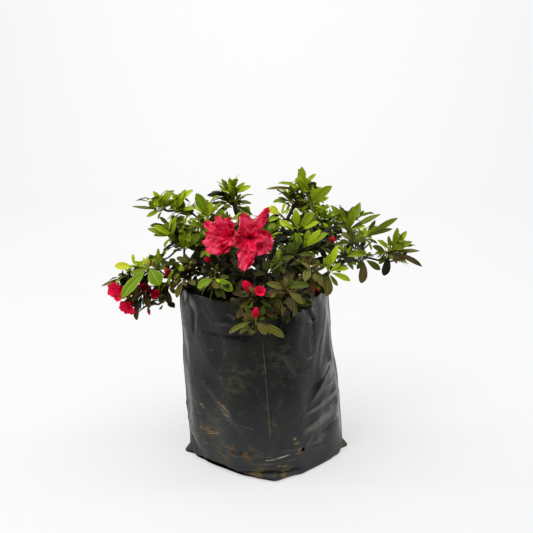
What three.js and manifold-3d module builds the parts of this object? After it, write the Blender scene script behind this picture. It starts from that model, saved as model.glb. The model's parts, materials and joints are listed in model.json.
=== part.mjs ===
// Azalea shrub in flower, standing in the black polythene nursery bag it was grown in.
// Millimetres, +Z up. The origin lies on the ground under the middle of the bag, and the
// side of the shrub that carries the two open blooms faces -Y.

import * as THREE from 'three';
import { mergeVertices } from 'three/addons/utils/BufferGeometryUtils.js';
import Module from 'manifold-3d';

const wasm = await Module();
wasm.setup();

// ---------------------------------------------------------------- driving dimensions

const GAP = 0.3; // clearance between neighbouring solids
const FUSE = 1e-4; // distance under which two vertices are one

const BAG_HEIGHT = 182;
const BAG_WALL = 1.5;
const BAG_TURN = THREE.MathUtils.degToRad(5.3); // the corners stand this far round from the axes
const BAG_LEAN = new THREE.Vector2(-12.5, 0); // how far the rim's middle is from over the base
const BAG_SEGMENTS = 40;
const EAR_WIDTH = THREE.MathUtils.degToRad(7); // of a folded corner, at half its reach

// Sections of the filled bag: half its side, how square it is (2 is round) and how far the
// folded corners stand out.
const BAG_SECTIONS = [
  { z: 0, half: 73, square: 2.8, ear: 7 },
  { z: 2.5, half: 74, square: 2.8, ear: 5.5 },
  { z: 10, half: 74, square: 2.8, ear: 1.5 },
  { z: 35, half: 73.5, square: 2.9, ear: 0 },
  { z: 80, half: 73.5, square: 3, ear: 0 },
  { z: 130, half: 73.5, square: 2.8, ear: 0 },
  { z: BAG_HEIGHT, half: 75.5, square: 2.3, ear: 0 },
];

const SOIL_CLEARANCE = 0.95; // between the growing medium and the bag's wall
const SOIL_LEVEL = 156; // the top of the growing medium at the stem
const SOIL_FALL = 3; // how much lower it lies at the bag's wall
const SOIL_FLAT = 16; // radius of its level middle, which the stem stands on

const STEM_FOOT_RADIUS = 9.5;
const STEM_RADIUS = 5.5;
const STEM_TIP_RADIUS = 4;
const STEM_FLARE = 7; // height over which the foot narrows to the stem
const STEM_BUTTRESSES = 5;
const STEM_RIPPLE = 0.16; // how far the buttresses stand out, as a share of the radius
const STEM_LENGTH = 36;
const STEM_FOOT = new THREE.Vector2(-6, 2);
const STEM_LEAN = new THREE.Vector2(-2, 3); // how far the tip is from over the foot

const LIMB_SIDES = 6;
const LIMB_STEPS = 5;
const LIMB_TAPER = 0.55; // radius at a bough's end over its radius at its start

const MASS_DETAIL = 2; // subdivisions of the icosahedron each mass starts from
const MASS_LOBES = 9; // swellings on each mass, where its shoots reach furthest
const MASS_HOLLOW = 0.4; // how deep the surface falls between two lobes
const LOBE_SHARPNESS = 7;

// Every mass of foliage by the box it fills: its middle and half its size.
const MASSES = {
  left_tip: { at: [-142, -24, 190], half: [34, 27, 32] },
  left_droop: { at: [-114, -12, 164], half: [21, 20, 26] },
  left_tuft: { at: [-116, 6, 212], half: [15, 18, 16] },
  upper_left: { at: [-121, 12, 267], half: [26, 23, 20] },
  upper_left_inner: { at: [-88, 26, 262], half: [19, 23, 25] },
  mid_left: { at: [-99, -10, 236], half: [27, 24, 20] },
  left_base: { at: [-84, -16, 207], half: [27, 27, 20] },
  centre_left: { at: [-65, -12, 263], half: [15, 20, 22] },
  top_left: { at: [-39, 26, 274], half: [25, 26, 22] },
  heart: { at: [2, 38, 238], half: [22, 20, 20] },
  blooms: { at: [-27, -62, 245], half: [37, 24, 32] },
  top_right: { at: [35, 10, 279], half: [38, 30, 30] },
  centre_right: { at: [36, -36, 237], half: [32, 26, 22] },
  upper_right: { at: [90, 14, 250], half: [26, 27, 26] },
  right_crest: { at: [122, 2, 247], half: [20, 17, 14] },
  right_tip: { at: [137, -5, 218], half: [26, 24, 24] },
  right_droop: { at: [101, -8, 207], half: [13, 19, 24] },
  lower_right: { at: [74, -38, 206], half: [26, 25, 27] },
  inner_right: { at: [40, -60, 208], half: [17, 18, 24] },
  front_low: { at: [-14, -90, 181], half: [29, 16, 32] },
  front_right: { at: [20, -90, 188], half: [22, 15, 24] },
  front_left: { at: [-52, -66, 202], half: [19, 16, 13] },
  back_left: { at: [-82, 74, 222], half: [38, 34, 32] },
  back_left_tip: { at: [-128, 54, 212], half: [24, 26, 24] },
  back_middle: { at: [-14, 92, 226], half: [38, 32, 34] },
  back_right: { at: [56, 84, 232], half: [36, 32, 34] },
  back_right_tip: { at: [108, 62, 222], half: [28, 28, 26] },
  back_low_left: { at: [-50, 112, 192], half: [30, 22, 26] },
  back_low_right: { at: [30, 118, 190], half: [32, 22, 24] },
};

// Every bough by the limb it springs from, how far along that limb, the mass it reaches,
// how high it arches over the straight line there, and its radius where it starts.
const BOUGHS = {
  left: { from: 'stem', along: 0.62, to: 'left_base', arch: 14, radius: 3.6 },
  right: { from: 'stem', along: 0.7, to: 'lower_right', arch: 16, radius: 3.6 },
  front: { from: 'stem', along: 0.5, to: 'front_low', arch: 34, radius: 3.2 },
  back: { from: 'stem', along: 0.56, to: 'back_middle', arch: 14, radius: 3.6 },
  crown_left: { from: 'stem', along: 0.86, to: 'top_left', arch: 6, radius: 3.2 },
  crown_right: { from: 'stem', along: 0.9, to: 'top_right', arch: 6, radius: 3.4 },
  upper_left: { from: 'left', along: 0.36, to: 'upper_left_inner', arch: 8, radius: 2.6 },
  upper_right: { from: 'right', along: 0.34, to: 'upper_right', arch: 10, radius: 2.8 },
  right_droop: { from: 'right', along: 0.6, to: 'right_droop', arch: 8, radius: 2.4 },
  bloom: { from: 'front', along: 0.3, to: 'blooms', arch: 4, radius: 2.6 },
  back_left: { from: 'back', along: 0.3, to: 'back_left', arch: 10, radius: 2.8 },
  back_right: { from: 'back', along: 0.36, to: 'back_right', arch: 10, radius: 2.8 },
  front_right: { from: 'front', along: 0.42, to: 'inner_right', arch: 8, radius: 2.4 },
  front_left: { from: 'front', along: 0.36, to: 'front_left', arch: 12, radius: 2.4 },
  centre_left: { from: 'crown_left', along: 0.3, to: 'centre_left', arch: 8, radius: 2.4 },
};

const FINISH = {
  film: { color: 0x1d1e20, roughness: 0.35, metalness: 0 },
  soil: { color: 0x2a211b, roughness: 0.95, metalness: 0 },
  bark: { color: 0x5b4433, roughness: 0.85, metalness: 0 },
  leaves: { color: 0x4f7a22, roughness: 0.6, metalness: 0 },
};

// ---------------------------------------------------------------- solids and meshes

/** Moves every vertex of a geometry to where `place` puts it. */
function warp(geometry, place) {
  const positions = geometry.attributes.position;
  const vertex = new THREE.Vector3();
  for (let i = 0; i < positions.count; i += 1) {
    vertex.fromBufferAttribute(positions, i);
    positions.setXYZ(i, ...place(vertex).toArray());
  }
  return geometry;
}

/** Turns a closed geometry into a solid that can be joined and cut. */
function solidOf(geometry) {
  geometry.deleteAttribute('normal');
  geometry.deleteAttribute('uv');
  const merged = mergeVertices(geometry, FUSE);
  const corners = merged.index.array;
  const triangles = [];
  for (let i = 0; i < corners.length; i += 3) {
    const [a, b, c] = corners.slice(i, i + 3);
    if (a !== b && b !== c && c !== a) triangles.push(a, b, c);
  }
  const mesh = new wasm.Mesh({
    numProp: 3,
    vertProperties: merged.attributes.position.array,
    triVerts: Uint32Array.from(triangles),
  });
  return new wasm.Manifold(mesh);
}

/** Takes every cutter away from a solid and keeps the piece that lies nearest to a point. */
function carve(solid, cutters, keepNear) {
  const pieces = cutters.reduce((rest, cutter) => rest.subtract(cutter), solid).decompose();
  const reach = (piece) => new THREE.Box3(
    new THREE.Vector3(...piece.boundingBox().min),
    new THREE.Vector3(...piece.boundingBox().max),
  ).distanceToPoint(keepNear);
  return pieces.sort((a, b) => reach(a) - reach(b) || b.volume() - a.volume())[0];
}

/** Makes the named mesh that shows a solid in one of the finishes. */
function meshOf(name, solid, finish) {
  const { vertProperties, triVerts } = solid.getMesh();
  const geometry = new THREE.BufferGeometry();
  geometry.setAttribute('position', new THREE.Float32BufferAttribute(vertProperties, 3));
  geometry.setIndex(Array.from(triVerts));
  geometry.computeVertexNormals();
  const mesh = new THREE.Mesh(geometry, new THREE.MeshStandardMaterial(finish));
  mesh.name = name;
  return mesh;
}

// ---------------------------------------------------------------- bag and growing medium

/** Reads one value of the bag's sections at a height, straight between two sections. */
function sectionAt(z, key) {
  const above = BAG_SECTIONS.findIndex((section) => section.z >= z);
  if (above === -1) return BAG_SECTIONS.at(-1)[key];
  if (above === 0) return BAG_SECTIONS[0][key];
  const [low, high] = BAG_SECTIONS.slice(above - 1, above + 1);
  return THREE.MathUtils.mapLinear(z, low.z, high.z, low[key], high[key]);
}

/** Distance from the bag's middle line to its wall, in one direction and at one height. */
function bagRadius(angle, z) {
  const side = angle - BAG_TURN - Math.PI / 4;
  const power = sectionAt(z, 'square');
  const round = (Math.abs(Math.cos(side)) ** power + Math.abs(Math.sin(side)) ** power) ** (1 / power);
  return sectionAt(z, 'half') / round;
}

/** How far the folded corners stand out from the wall, in one direction and at one height. */
function earReach(angle, z) {
  const quarter = Math.PI / 2;
  const corner = Math.round((angle - BAG_TURN) / quarter) * quarter + BAG_TURN;
  return sectionAt(z, 'ear') * Math.exp(-(((angle - corner) / EAR_WIDTH) ** 2));
}

/** Middle of the bag at a height. */
function bagMiddle(z) {
  return BAG_LEAN.clone().multiplyScalar(z / BAG_HEIGHT);
}

/**
 * Turns a profile about the bag's middle line. Each of its rows has a height, its share of the
 * way out to the wall, its inset from the wall, and whether it follows the folded corners.
 */
function bagLathe(profile) {
  const points = profile.map(({ share }, i) => new THREE.Vector2(share, i));
  const lathe = new THREE.LatheGeometry(points, BAG_SEGMENTS);
  return warp(lathe, (vertex) => {
    const { share, inset, z, ears } = profile[Math.round(vertex.y)];
    const angle = Math.atan2(-vertex.z, vertex.x) + BAG_TURN;
    const radius = share * (bagRadius(angle, z) + (ears ? earReach(angle, z) : 0) - inset);
    const middle = bagMiddle(z);
    return new THREE.Vector3(
      middle.x + radius * Math.cos(angle),
      middle.y + radius * Math.sin(angle),
      z,
    );
  });
}

/** The bag filled out to its wall and grown by a margin, which foliage hangs clear of. */
function bagEnvelope(margin) {
  const wall = BAG_SECTIONS.map(({ z }) => ({ share: 1, inset: -margin, z, ears: true }));
  wall.at(-1).z += margin;
  return solidOf(bagLathe([{ ...wall[0], share: 0 }, ...wall, { ...wall.at(-1), share: 0 }]));
}

/** The open bag: its outer wall, its rim, and its inner wall down to the floor. */
function bagSolid() {
  const outer = BAG_SECTIONS.map(({ z }) => ({ share: 1, inset: 0, z, ears: true }));
  const heights = [BAG_WALL, ...outer.map(({ z }) => z).filter((z) => z > BAG_WALL)];
  const inner = heights.reverse().map((z) => ({ share: 1, inset: BAG_WALL, z, ears: false }));
  return solidOf(bagLathe([
    { ...outer[0], share: 0 },
    ...outer,
    ...inner,
    { ...inner.at(-1), share: 0 },
  ]));
}

/** The growing medium: it fills the bag to below the rim and falls a little to the wall. */
function soilSolid() {
  const inset = BAG_WALL + SOIL_CLEARANCE;
  const foot = BAG_WALL + GAP;
  const wallTop = SOIL_LEVEL - SOIL_FALL;
  const sides = BAG_SECTIONS.map(({ z }) => z).filter((z) => z > foot && z < wallTop);
  const wall = [foot, ...sides, wallTop].map((z) => ({ share: 1, inset, z, ears: false }));
  const level = { inset, z: SOIL_LEVEL, ears: false };
  return solidOf(bagLathe([
    { ...wall[0], share: 0 },
    ...wall,
    { ...level, share: SOIL_FLAT / sectionAt(SOIL_LEVEL, 'half') },
    { ...level, share: 0 },
  ]));
}

// ---------------------------------------------------------------- stem and boughs

/** Bends a tapering round bar onto a curve. */
function barAlong(curve, radiusAt, sides, steps, ripple = () => 1) {
  const bar = new THREE.CylinderGeometry(1, 1, 1, sides, steps);
  const frames = curve.computeFrenetFrames(steps);
  return warp(bar, (vertex) => {
    const step = Math.round((vertex.y + 0.5) * steps);
    const along = step / steps;
    const angle = Math.atan2(vertex.z, vertex.x);
    const radius = Math.hypot(vertex.x, vertex.z) * radiusAt(along) * ripple(angle, along);
    return curve.getPointAt(along)
      .addScaledVector(frames.normals[step], -radius * Math.cos(angle))
      .addScaledVector(frames.binormals[step], radius * Math.sin(angle));
  });
}

/** Middle line of the stem, from the soil to its fork, or a little past that. */
function stemCurve(pastFork = 0) {
  const foot = new THREE.Vector3(STEM_FOOT.x, STEM_FOOT.y, SOIL_LEVEL + GAP);
  const rise = new THREE.Vector3(STEM_LEAN.x, STEM_LEAN.y, STEM_LENGTH);
  const fork = foot.clone().addScaledVector(rise, 1 + pastFork / STEM_LENGTH);
  return new THREE.LineCurve3(foot, fork);
}

/** The stem, which flares into low buttresses at the soil and is cut level there. */
function stemSolid(margin = 0) {
  const steps = 6;
  const radiusAt = (along) => {
    const flare = Math.max(0, 1 - (along * STEM_LENGTH) / STEM_FLARE) ** 2;
    return THREE.MathUtils.lerp(STEM_RADIUS, STEM_TIP_RADIUS, along)
      + flare * (STEM_FOOT_RADIUS - STEM_RADIUS) + margin;
  };
  const ripple = (angle, along) => {
    const depth = STEM_RIPPLE * Math.max(0, 1 - 2 * along);
    return 1 + depth * Math.cos(STEM_BUTTRESSES * angle);
  };
  const sides = 3 * STEM_BUTTRESSES;
  const leaning = barAlong(stemCurve(margin), radiusAt, sides, steps, ripple);
  const soil = SOIL_LEVEL + GAP;
  const firstRing = soil + STEM_LENGTH / steps / 2;
  return solidOf(warp(leaning, (vertex) => vertex.setZ(vertex.z < firstRing ? soil : vertex.z)));
}

/** Middle line of a bough, from the limb it springs from to the mass it reaches. */
function boughCurve(name) {
  const { from, along, to, arch } = BOUGHS[name];
  const parent = from === 'stem' ? stemCurve() : boughCurve(from);
  const start = parent.getPointAt(along);
  const end = new THREE.Vector3(...MASSES[to].at);
  const middle = start.clone().lerp(end, 0.5).setZ((start.z + end.z) / 2 + 2 * arch);
  return new THREE.QuadraticBezierCurve3(start, middle, end);
}

/** A bough at its full length, before its parent and the foliage are cut out of it. */
function boughSolid(name, margin = 0) {
  const { radius } = BOUGHS[name];
  const radiusAt = (along) => radius * THREE.MathUtils.lerp(1, LIMB_TAPER, along) + margin;
  return solidOf(barAlong(boughCurve(name), radiusAt, LIMB_SIDES, LIMB_STEPS));
}

// ---------------------------------------------------------------- foliage

/** Directions spread evenly over a sphere and turned about Z by an angle. */
function spreadDirections(count, turn) {
  const goldenAngle = Math.PI * (3 - Math.sqrt(5));
  return Array.from({ length: count }, (_, i) => {
    const z = 1 - (2 * i + 1) / count;
    const angle = turn + i * goldenAngle;
    const across = Math.sqrt(1 - z * z);
    return new THREE.Vector3(across * Math.cos(angle), across * Math.sin(angle), z);
  });
}

/** One uneven mass: a ball that swells towards its shoots, fitted to the box it fills. */
function massSolid(name, margin = 0) {
  const { at, half } = MASSES[name];
  const turn = Object.keys(MASSES).indexOf(name);
  const lobes = spreadDirections(MASS_LOBES, turn);
  const ball = warp(new THREE.IcosahedronGeometry(1, MASS_DETAIL), (direction) => {
    const nearness = Math.max(...lobes.map((lobe) => Math.max(0, lobe.dot(direction))));
    return direction.multiplyScalar(1 - MASS_HOLLOW * (1 - nearness ** LOBE_SHARPNESS));
  });
  ball.computeBoundingBox();
  const { min, max } = ball.boundingBox;
  const fit = (value, axis, i) => at[i]
    + (half[i] + margin) * THREE.MathUtils.mapLinear(value, min[axis], max[axis], -1, 1);
  warp(ball, ({ x, y, z }) => new THREE.Vector3(fit(x, 'x', 0), fit(y, 'y', 1), fit(z, 'z', 2)));
  return solidOf(ball);
}

// ---------------------------------------------------------------- assembly

const shrub = new THREE.Group();
const clearBag = bagEnvelope(GAP);
const clearStem = stemSolid(GAP);
const clearMasses = [];
const clearBoughs = [];

shrub.add(meshOf('nursery_bag', bagSolid(), FINISH.film));
shrub.add(meshOf('growing_medium', soilSolid(), FINISH.soil));
shrub.add(meshOf('main_stem', stemSolid(), FINISH.bark));

for (const name of Object.keys(MASSES)) {
  const middle = new THREE.Vector3(...MASSES[name].at);
  const mass = carve(massSolid(name), [clearBag, ...clearMasses], middle);
  clearMasses.push(massSolid(name, GAP));
  shrub.add(meshOf(`foliage_${name}`, mass, FINISH.leaves));
}

for (const name of Object.keys(BOUGHS)) {
  const start = boughCurve(name).getPointAt(0);
  const cutters = [clearStem, ...clearBoughs, ...clearMasses];
  const bough = carve(boughSolid(name), cutters, start);
  clearBoughs.push(boughSolid(name, GAP));
  shrub.add(meshOf(`bough_${name}`, bough, FINISH.bark));
}

export default shrub;
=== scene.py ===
"""Azalea shrub in flower, standing in the black polythene nursery bag it was grown in.

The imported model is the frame. Every piece here is built round it at the same place and size:
the blown-film bag, the potting mix, the barky limbs, the twigs that grow on from them by a
seeded rule, the leaves, the blossom and its buds. Lengths are millimetres until a mesh is made.
"""

import functools
import json
import logging
import math
from collections.abc import Iterable, Sequence
from dataclasses import dataclass, field
from enum import Enum
from typing import NamedTuple

import bmesh
import bpy
import numpy as np
from bpy.types import ID, Material, Mesh, Node, NodeSocket, NodeTree, Object
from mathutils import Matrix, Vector
from numpy import ndarray
from numpy.random import Generator

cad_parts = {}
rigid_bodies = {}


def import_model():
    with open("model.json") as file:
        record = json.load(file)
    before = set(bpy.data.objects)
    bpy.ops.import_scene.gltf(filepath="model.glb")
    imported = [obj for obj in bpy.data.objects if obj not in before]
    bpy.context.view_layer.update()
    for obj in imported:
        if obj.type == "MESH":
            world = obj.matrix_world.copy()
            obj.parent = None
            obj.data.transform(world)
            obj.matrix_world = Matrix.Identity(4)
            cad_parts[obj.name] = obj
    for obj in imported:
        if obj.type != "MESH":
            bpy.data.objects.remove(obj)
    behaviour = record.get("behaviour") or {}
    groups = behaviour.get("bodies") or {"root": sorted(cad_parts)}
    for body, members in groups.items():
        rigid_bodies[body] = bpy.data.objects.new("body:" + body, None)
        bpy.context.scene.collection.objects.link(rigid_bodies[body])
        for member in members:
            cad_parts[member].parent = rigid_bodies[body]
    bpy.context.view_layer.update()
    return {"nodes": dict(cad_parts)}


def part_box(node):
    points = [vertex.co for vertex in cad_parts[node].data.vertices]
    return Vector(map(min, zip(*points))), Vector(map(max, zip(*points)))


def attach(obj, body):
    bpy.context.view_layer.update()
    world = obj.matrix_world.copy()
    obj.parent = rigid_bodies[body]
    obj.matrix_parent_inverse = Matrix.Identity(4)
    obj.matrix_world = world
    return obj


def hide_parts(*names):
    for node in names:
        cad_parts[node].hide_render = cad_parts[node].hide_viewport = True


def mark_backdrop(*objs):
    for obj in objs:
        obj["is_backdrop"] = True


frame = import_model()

LOG = logging.getLogger("azalea")
MM = 0.001
BODY = "root"
GOLDEN_ANGLE = math.pi * (3 - math.sqrt(5))
UP = np.array((0.0, 0.0, 1.0))
EYE = np.array((-1.0, -950.0, 385.0))  # where the front view is seen from (mm)
VIEWER = np.array((0.0, -1.0, 0.0))  # the side of the shrub that shows its two open blooms
MIX_A, MIX_B, MIX_RESULT = 6, 7, 2  # the colour sockets of a Mix node
FOLD_MAP = "fold_height"  # mm that the folds raise each point of the film
WALL_MAP = "smooth_wall"  # where each point of the film would lie if the bag had no folds
PETAL_MAP = "petal"  # across and along each petal


# ---- vectors and boxes

def unit(vector: ndarray | Sequence[float]) -> ndarray:
    """Returns the vector at length one."""
    vector = np.asarray(vector, float)
    return vector / np.linalg.norm(vector)


def square_to(axis: ndarray, vector: ndarray) -> ndarray:
    """Returns the part of a vector that is square to an axis, at length one."""
    return unit(vector - np.dot(vector, axis) * axis)


def smooth_step(low: float, high: float, value: ndarray) -> ndarray:
    """Returns 0 below `low`, 1 above `high`, and an even S between them."""
    share = np.clip((value - low) / (high - low), 0, 1)
    return share * share * (3 - 2 * share)


def hill(value: ndarray, middle: float, width: float) -> ndarray:
    """Returns 1 in the middle of a round hill, and fades to 0 on both sides."""
    return np.exp(-((value - middle) / width) ** 2)


def ripples(points: ndarray, length: float, rng: Generator, count: int = 9) -> ndarray:
    """Sums sine waves that run in random directions.

    Args:
        points: Places to read, one row each.
        length: Wavelength, in the points' own unit.
        rng: Where the directions and phases are drawn from.
        count: Number of waves.

    Returns:
        One value for each point, mostly between -1 and 1.
    """
    ways = rng.normal(size=(count, points.shape[1]))
    ways /= np.linalg.norm(ways, axis=1, keepdims=True)
    phases = rng.uniform(0, 2 * math.pi, count)
    return np.sin(points @ ways.T * (2 * math.pi / length) + phases).sum(axis=1) / math.sqrt(2 * count)


@dataclass(frozen=True)
class Box:
    """The box of one CAD node (mm)."""

    middle: ndarray
    half: ndarray

    @classmethod
    @functools.cache
    def of(cls, node: str) -> "Box":
        """Reads the box of a node from the frame."""
        low, high = (np.array(corner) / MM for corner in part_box(node))
        return cls((low + high) / 2, (high - low) / 2)

    def place(self, share: Sequence[float]) -> ndarray:
        """Returns the point at a share of the way from the middle to each face."""
        return self.middle + self.half * np.asarray(share, float)


# ---- meshes and pieces

def mesh_of(name: str, points: ndarray, faces: ndarray, slots: ndarray | None = None) -> Mesh:
    """Makes a smooth mesh from arrays.

    Args:
        name: Name of the mesh.
        points: Vertices in millimetres, one row each.
        faces: Corners of the faces, one row each.
        slots: Material slot of each face.

    Returns:
        The mesh, in metres.
    """
    mesh = bpy.data.meshes.new(name)
    mesh.from_pydata((points * MM).tolist(), [], faces.tolist())
    if slots is not None:
        mesh.polygons.foreach_set("material_index", slots.astype(np.int32))
    mesh.shade_smooth()
    return mesh


def grid_faces(count: int, rows: int, columns: int) -> ndarray:
    """Returns the faces of some equal sheets, whose points are listed row by row.

    Args:
        count: Number of sheets.
        rows: Rows of points in a sheet.
        columns: Points in a row.

    Returns:
        The four corners of each face.
    """
    first = (np.arange(rows - 1)[:, None] * columns + np.arange(columns - 1)).ravel()
    quads = np.c_[first, first + columns, first + columns + 1, first + 1]
    return (np.arange(count)[:, None, None] * rows * columns + quads).reshape(-1, 4)


def points_of(mesh: Mesh) -> ndarray:
    """Returns the vertices of a mesh in millimetres."""
    places = np.empty(len(mesh.vertices) * 3)
    mesh.vertices.foreach_get("co", places)
    return places.reshape(-1, 3) / MM


def move_points(mesh: Mesh, points: ndarray) -> None:
    """Puts the vertices of a mesh where `points` says, in millimetres."""
    mesh.vertices.foreach_set("co", (points * MM).ravel())
    mesh.update()


def linked(name: str, data: ID) -> Object:
    """Adds an object that shows a mesh, a curve, a lamp or a camera."""
    thing = bpy.data.objects.new(name, data)
    bpy.context.scene.collection.objects.link(thing)
    return thing


def piece(
    name: str,
    mesh: Mesh,
    materials: Iterable[Material],
    stands_for: Iterable[str] = (),
) -> Object:
    """Adds a finished piece to the scene and hangs it on the plant.

    Args:
        name: Name of the piece.
        mesh: Its mesh, already in place.
        materials: Its materials, in slot order.
        stands_for: CAD nodes that it replaces.

    Returns:
        The object.
    """
    thing = linked(name, mesh)
    for material in materials:
        mesh.materials.append(material)
    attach(thing, BODY)
    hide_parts(*stands_for)
    return thing


def settled(thing: Object) -> Mesh:
    """Returns the mesh that an object's modifiers or bevel make, and takes the object away."""
    seen = thing.evaluated_get(bpy.context.evaluated_depsgraph_get())
    mesh = bpy.data.meshes.new_from_object(seen)
    mesh.materials.clear()
    bpy.data.objects.remove(thing)
    return mesh


def spun(profile: Sequence[tuple[float, float]], steps: int) -> tuple[Mesh, ndarray, ndarray, ndarray]:
    """Turns a profile about the Z axis into a mesh with its faces outwards.

    Args:
        profile: Share of the radius and height of each row.
        steps: Number of steps round.

    Returns:
        The mesh, still to be given its true places, and the angle, share and height of each point.
    """
    form = bmesh.new()
    corners = [form.verts.new((share, 0, row)) for row, (share, _) in enumerate(profile)]
    edges = [form.edges.new(pair) for pair in zip(corners, corners[1:])]
    bmesh.ops.spin(
        form, geom=corners + edges, axis=(0, 0, 1), cent=(0, 0, 0),
        angle=2 * math.pi, steps=steps, use_merge=True,
    )
    bmesh.ops.remove_doubles(form, verts=form.verts, dist=1e-5)
    bmesh.ops.recalc_face_normals(form, faces=form.faces)
    mesh = bpy.data.meshes.new("spun")
    form.to_mesh(mesh)
    form.free()
    mesh.shade_smooth()
    x, y, row = (points_of(mesh) * MM).T
    share, z = np.array(profile)[np.rint(row).astype(int)].T
    return mesh, np.arctan2(y, x), share, z


@dataclass
class Bar:
    """A round bar of changing thickness (mm)."""

    path: ndarray
    radii: ndarray


def bars_mesh(name: str, bars: Iterable[Bar], sides: int) -> Mesh:
    """Makes one mesh of many round bars, each with its ends closed.

    Args:
        name: Name of the mesh.
        bars: The bars.
        sides: Corners of their section; a multiple of four.

    Returns:
        The mesh, in metres.
    """
    curve = bpy.data.curves.new(name, "CURVE")
    curve.dimensions = "3D"
    curve.bevel_depth = MM
    curve.bevel_resolution = sides // 4
    curve.use_fill_caps = True
    for bar in bars:
        spline = curve.splines.new("POLY")
        spline.points.add(len(bar.path) - 1)
        spline.points.foreach_set("co", np.c_[bar.path * MM, np.ones(len(bar.path))].ravel())
        spline.points.foreach_set("radius", np.broadcast_to(bar.radii, len(bar.path)).copy())
    mesh = settled(linked(name, curve))
    bpy.data.curves.remove(curve)
    mesh.shade_smooth()
    return mesh


def run_of(path: ndarray) -> ndarray:
    """Returns how far along a path each of its points lies."""
    return np.r_[0, np.cumsum(np.linalg.norm(np.diff(path, axis=0), axis=1))]


def bezier(corners: Sequence[ndarray], steps: int) -> ndarray:
    """Samples a Bezier curve of any degree.

    Args:
        corners: Its control points.
        steps: Number of steps along it.

    Returns:
        The points, one row each.
    """
    along = np.linspace(0, 1, steps + 1)[:, None]
    level = [np.broadcast_to(corner, (steps + 1, 3)) for corner in corners]
    while len(level) > 1:
        level = [low * (1 - along) + high * along for low, high in zip(level, level[1:])]
    return level[0]


# ---- materials

def linear(colour: str) -> tuple[float, float, float, float]:
    """Turns an sRGB hex colour into a linear one with full alpha."""
    parts = (int(colour[i:i + 2], 16) / 255 for i in (1, 3, 5))
    red, green, blue = (p / 12.92 if p <= 0.04045 else ((p + 0.055) / 1.055) ** 2.4 for p in parts)
    return red, green, blue, 1.0


def add_node(
    tree: NodeTree,
    kind: str | Node,
    settings: dict[str | int, object] | None = None,
    links: dict[str | int, NodeSocket] | None = None,
) -> Node:
    """Adds one node to a tree, or sets up one that is there.

    Args:
        tree: The node tree.
        kind: Type of the new shader node, or the node to set up.
        settings: Values by the name of a property, or by the name or number of an input.
        links: Outputs of other nodes by the name or number of the input that they feed.

    Returns:
        The node.
    """
    node = tree.nodes.new(f"ShaderNode{kind}") if isinstance(kind, str) else kind
    for name, value in (settings or {}).items():
        if isinstance(name, str) and hasattr(node, name):
            setattr(node, name, value)
        else:
            node.inputs[name].default_value = value
    for name, output in (links or {}).items():
        tree.links.new(output, node.inputs[name])
    return node


def new_material(name: str) -> tuple[Material, NodeTree, Node]:
    """Makes an empty material, and returns it with its tree and its Principled node."""
    material = bpy.data.materials.new(name)
    material.use_nodes = True
    tree = material.node_tree
    tree.nodes.clear()
    surface = add_node(tree, "BsdfPrincipled")
    add_node(tree, "OutputMaterial", links={"Surface": surface.outputs[0]})
    return material, tree, surface


def blended(
    tree: NodeTree,
    share: NodeSocket,
    under: NodeSocket | str,
    over: NodeSocket | str,
) -> NodeSocket:
    """Lays one colour over another.

    Args:
        tree: The node tree.
        share: How much of the upper colour shows.
        under: The lower colour, a hex value or an output.
        over: The upper colour, a hex value or an output.

    Returns:
        The colour output.
    """
    settings, links = {"data_type": "RGBA"}, {0: share}
    for number, colour in ((MIX_A, under), (MIX_B, over)):
        if isinstance(colour, str):
            settings[number] = linear(colour)
        else:
            links[number] = colour
    return add_node(tree, "Mix", settings, links).outputs[MIX_RESULT]


def ranged(
    tree: NodeTree, value: NodeSocket, low: float, high: float,
    to_low: float = 0.0, to_high: float = 1.0,
) -> NodeSocket:
    """Maps a value smoothly from one range to another, held at both ends.

    Args:
        tree: The node tree.
        value: The value.
        low: Where its range starts.
        high: Where its range ends, below `low` to turn it round.
        to_low: What `low` becomes.
        to_high: What `high` becomes.

    Returns:
        The output.
    """
    settings = {
        "interpolation_type": "SMOOTHSTEP",
        "From Min": low, "From Max": high, "To Min": to_low, "To Max": to_high,
    }
    return add_node(tree, "MapRange", settings, {"Value": value}).outputs[0]


def product(tree: NodeTree, *values: NodeSocket) -> NodeSocket:
    """Multiplies several values together."""
    result = values[0]
    for value in values[1:]:
        pair = {0: result, 1: value}
        result = add_node(tree, "Math", {"operation": "MULTIPLY"}, pair).outputs[0]
    return result


@dataclass(frozen=True)
class Stain:
    """A round dirty mark on the film: its middle (mm), its radius, and how strong it is."""

    at: ndarray
    radius: float
    strength: float
    colour: str


@dataclass(frozen=True)
class Scratch:
    """A straight mark on the film, which is a scratch, a line of painted highlight or a line of painted
    shade: its two ends (mm), its half width, its strength and its colour.
    """

    start: ndarray
    end: ndarray
    width: float
    strength: float
    colour: str


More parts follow.
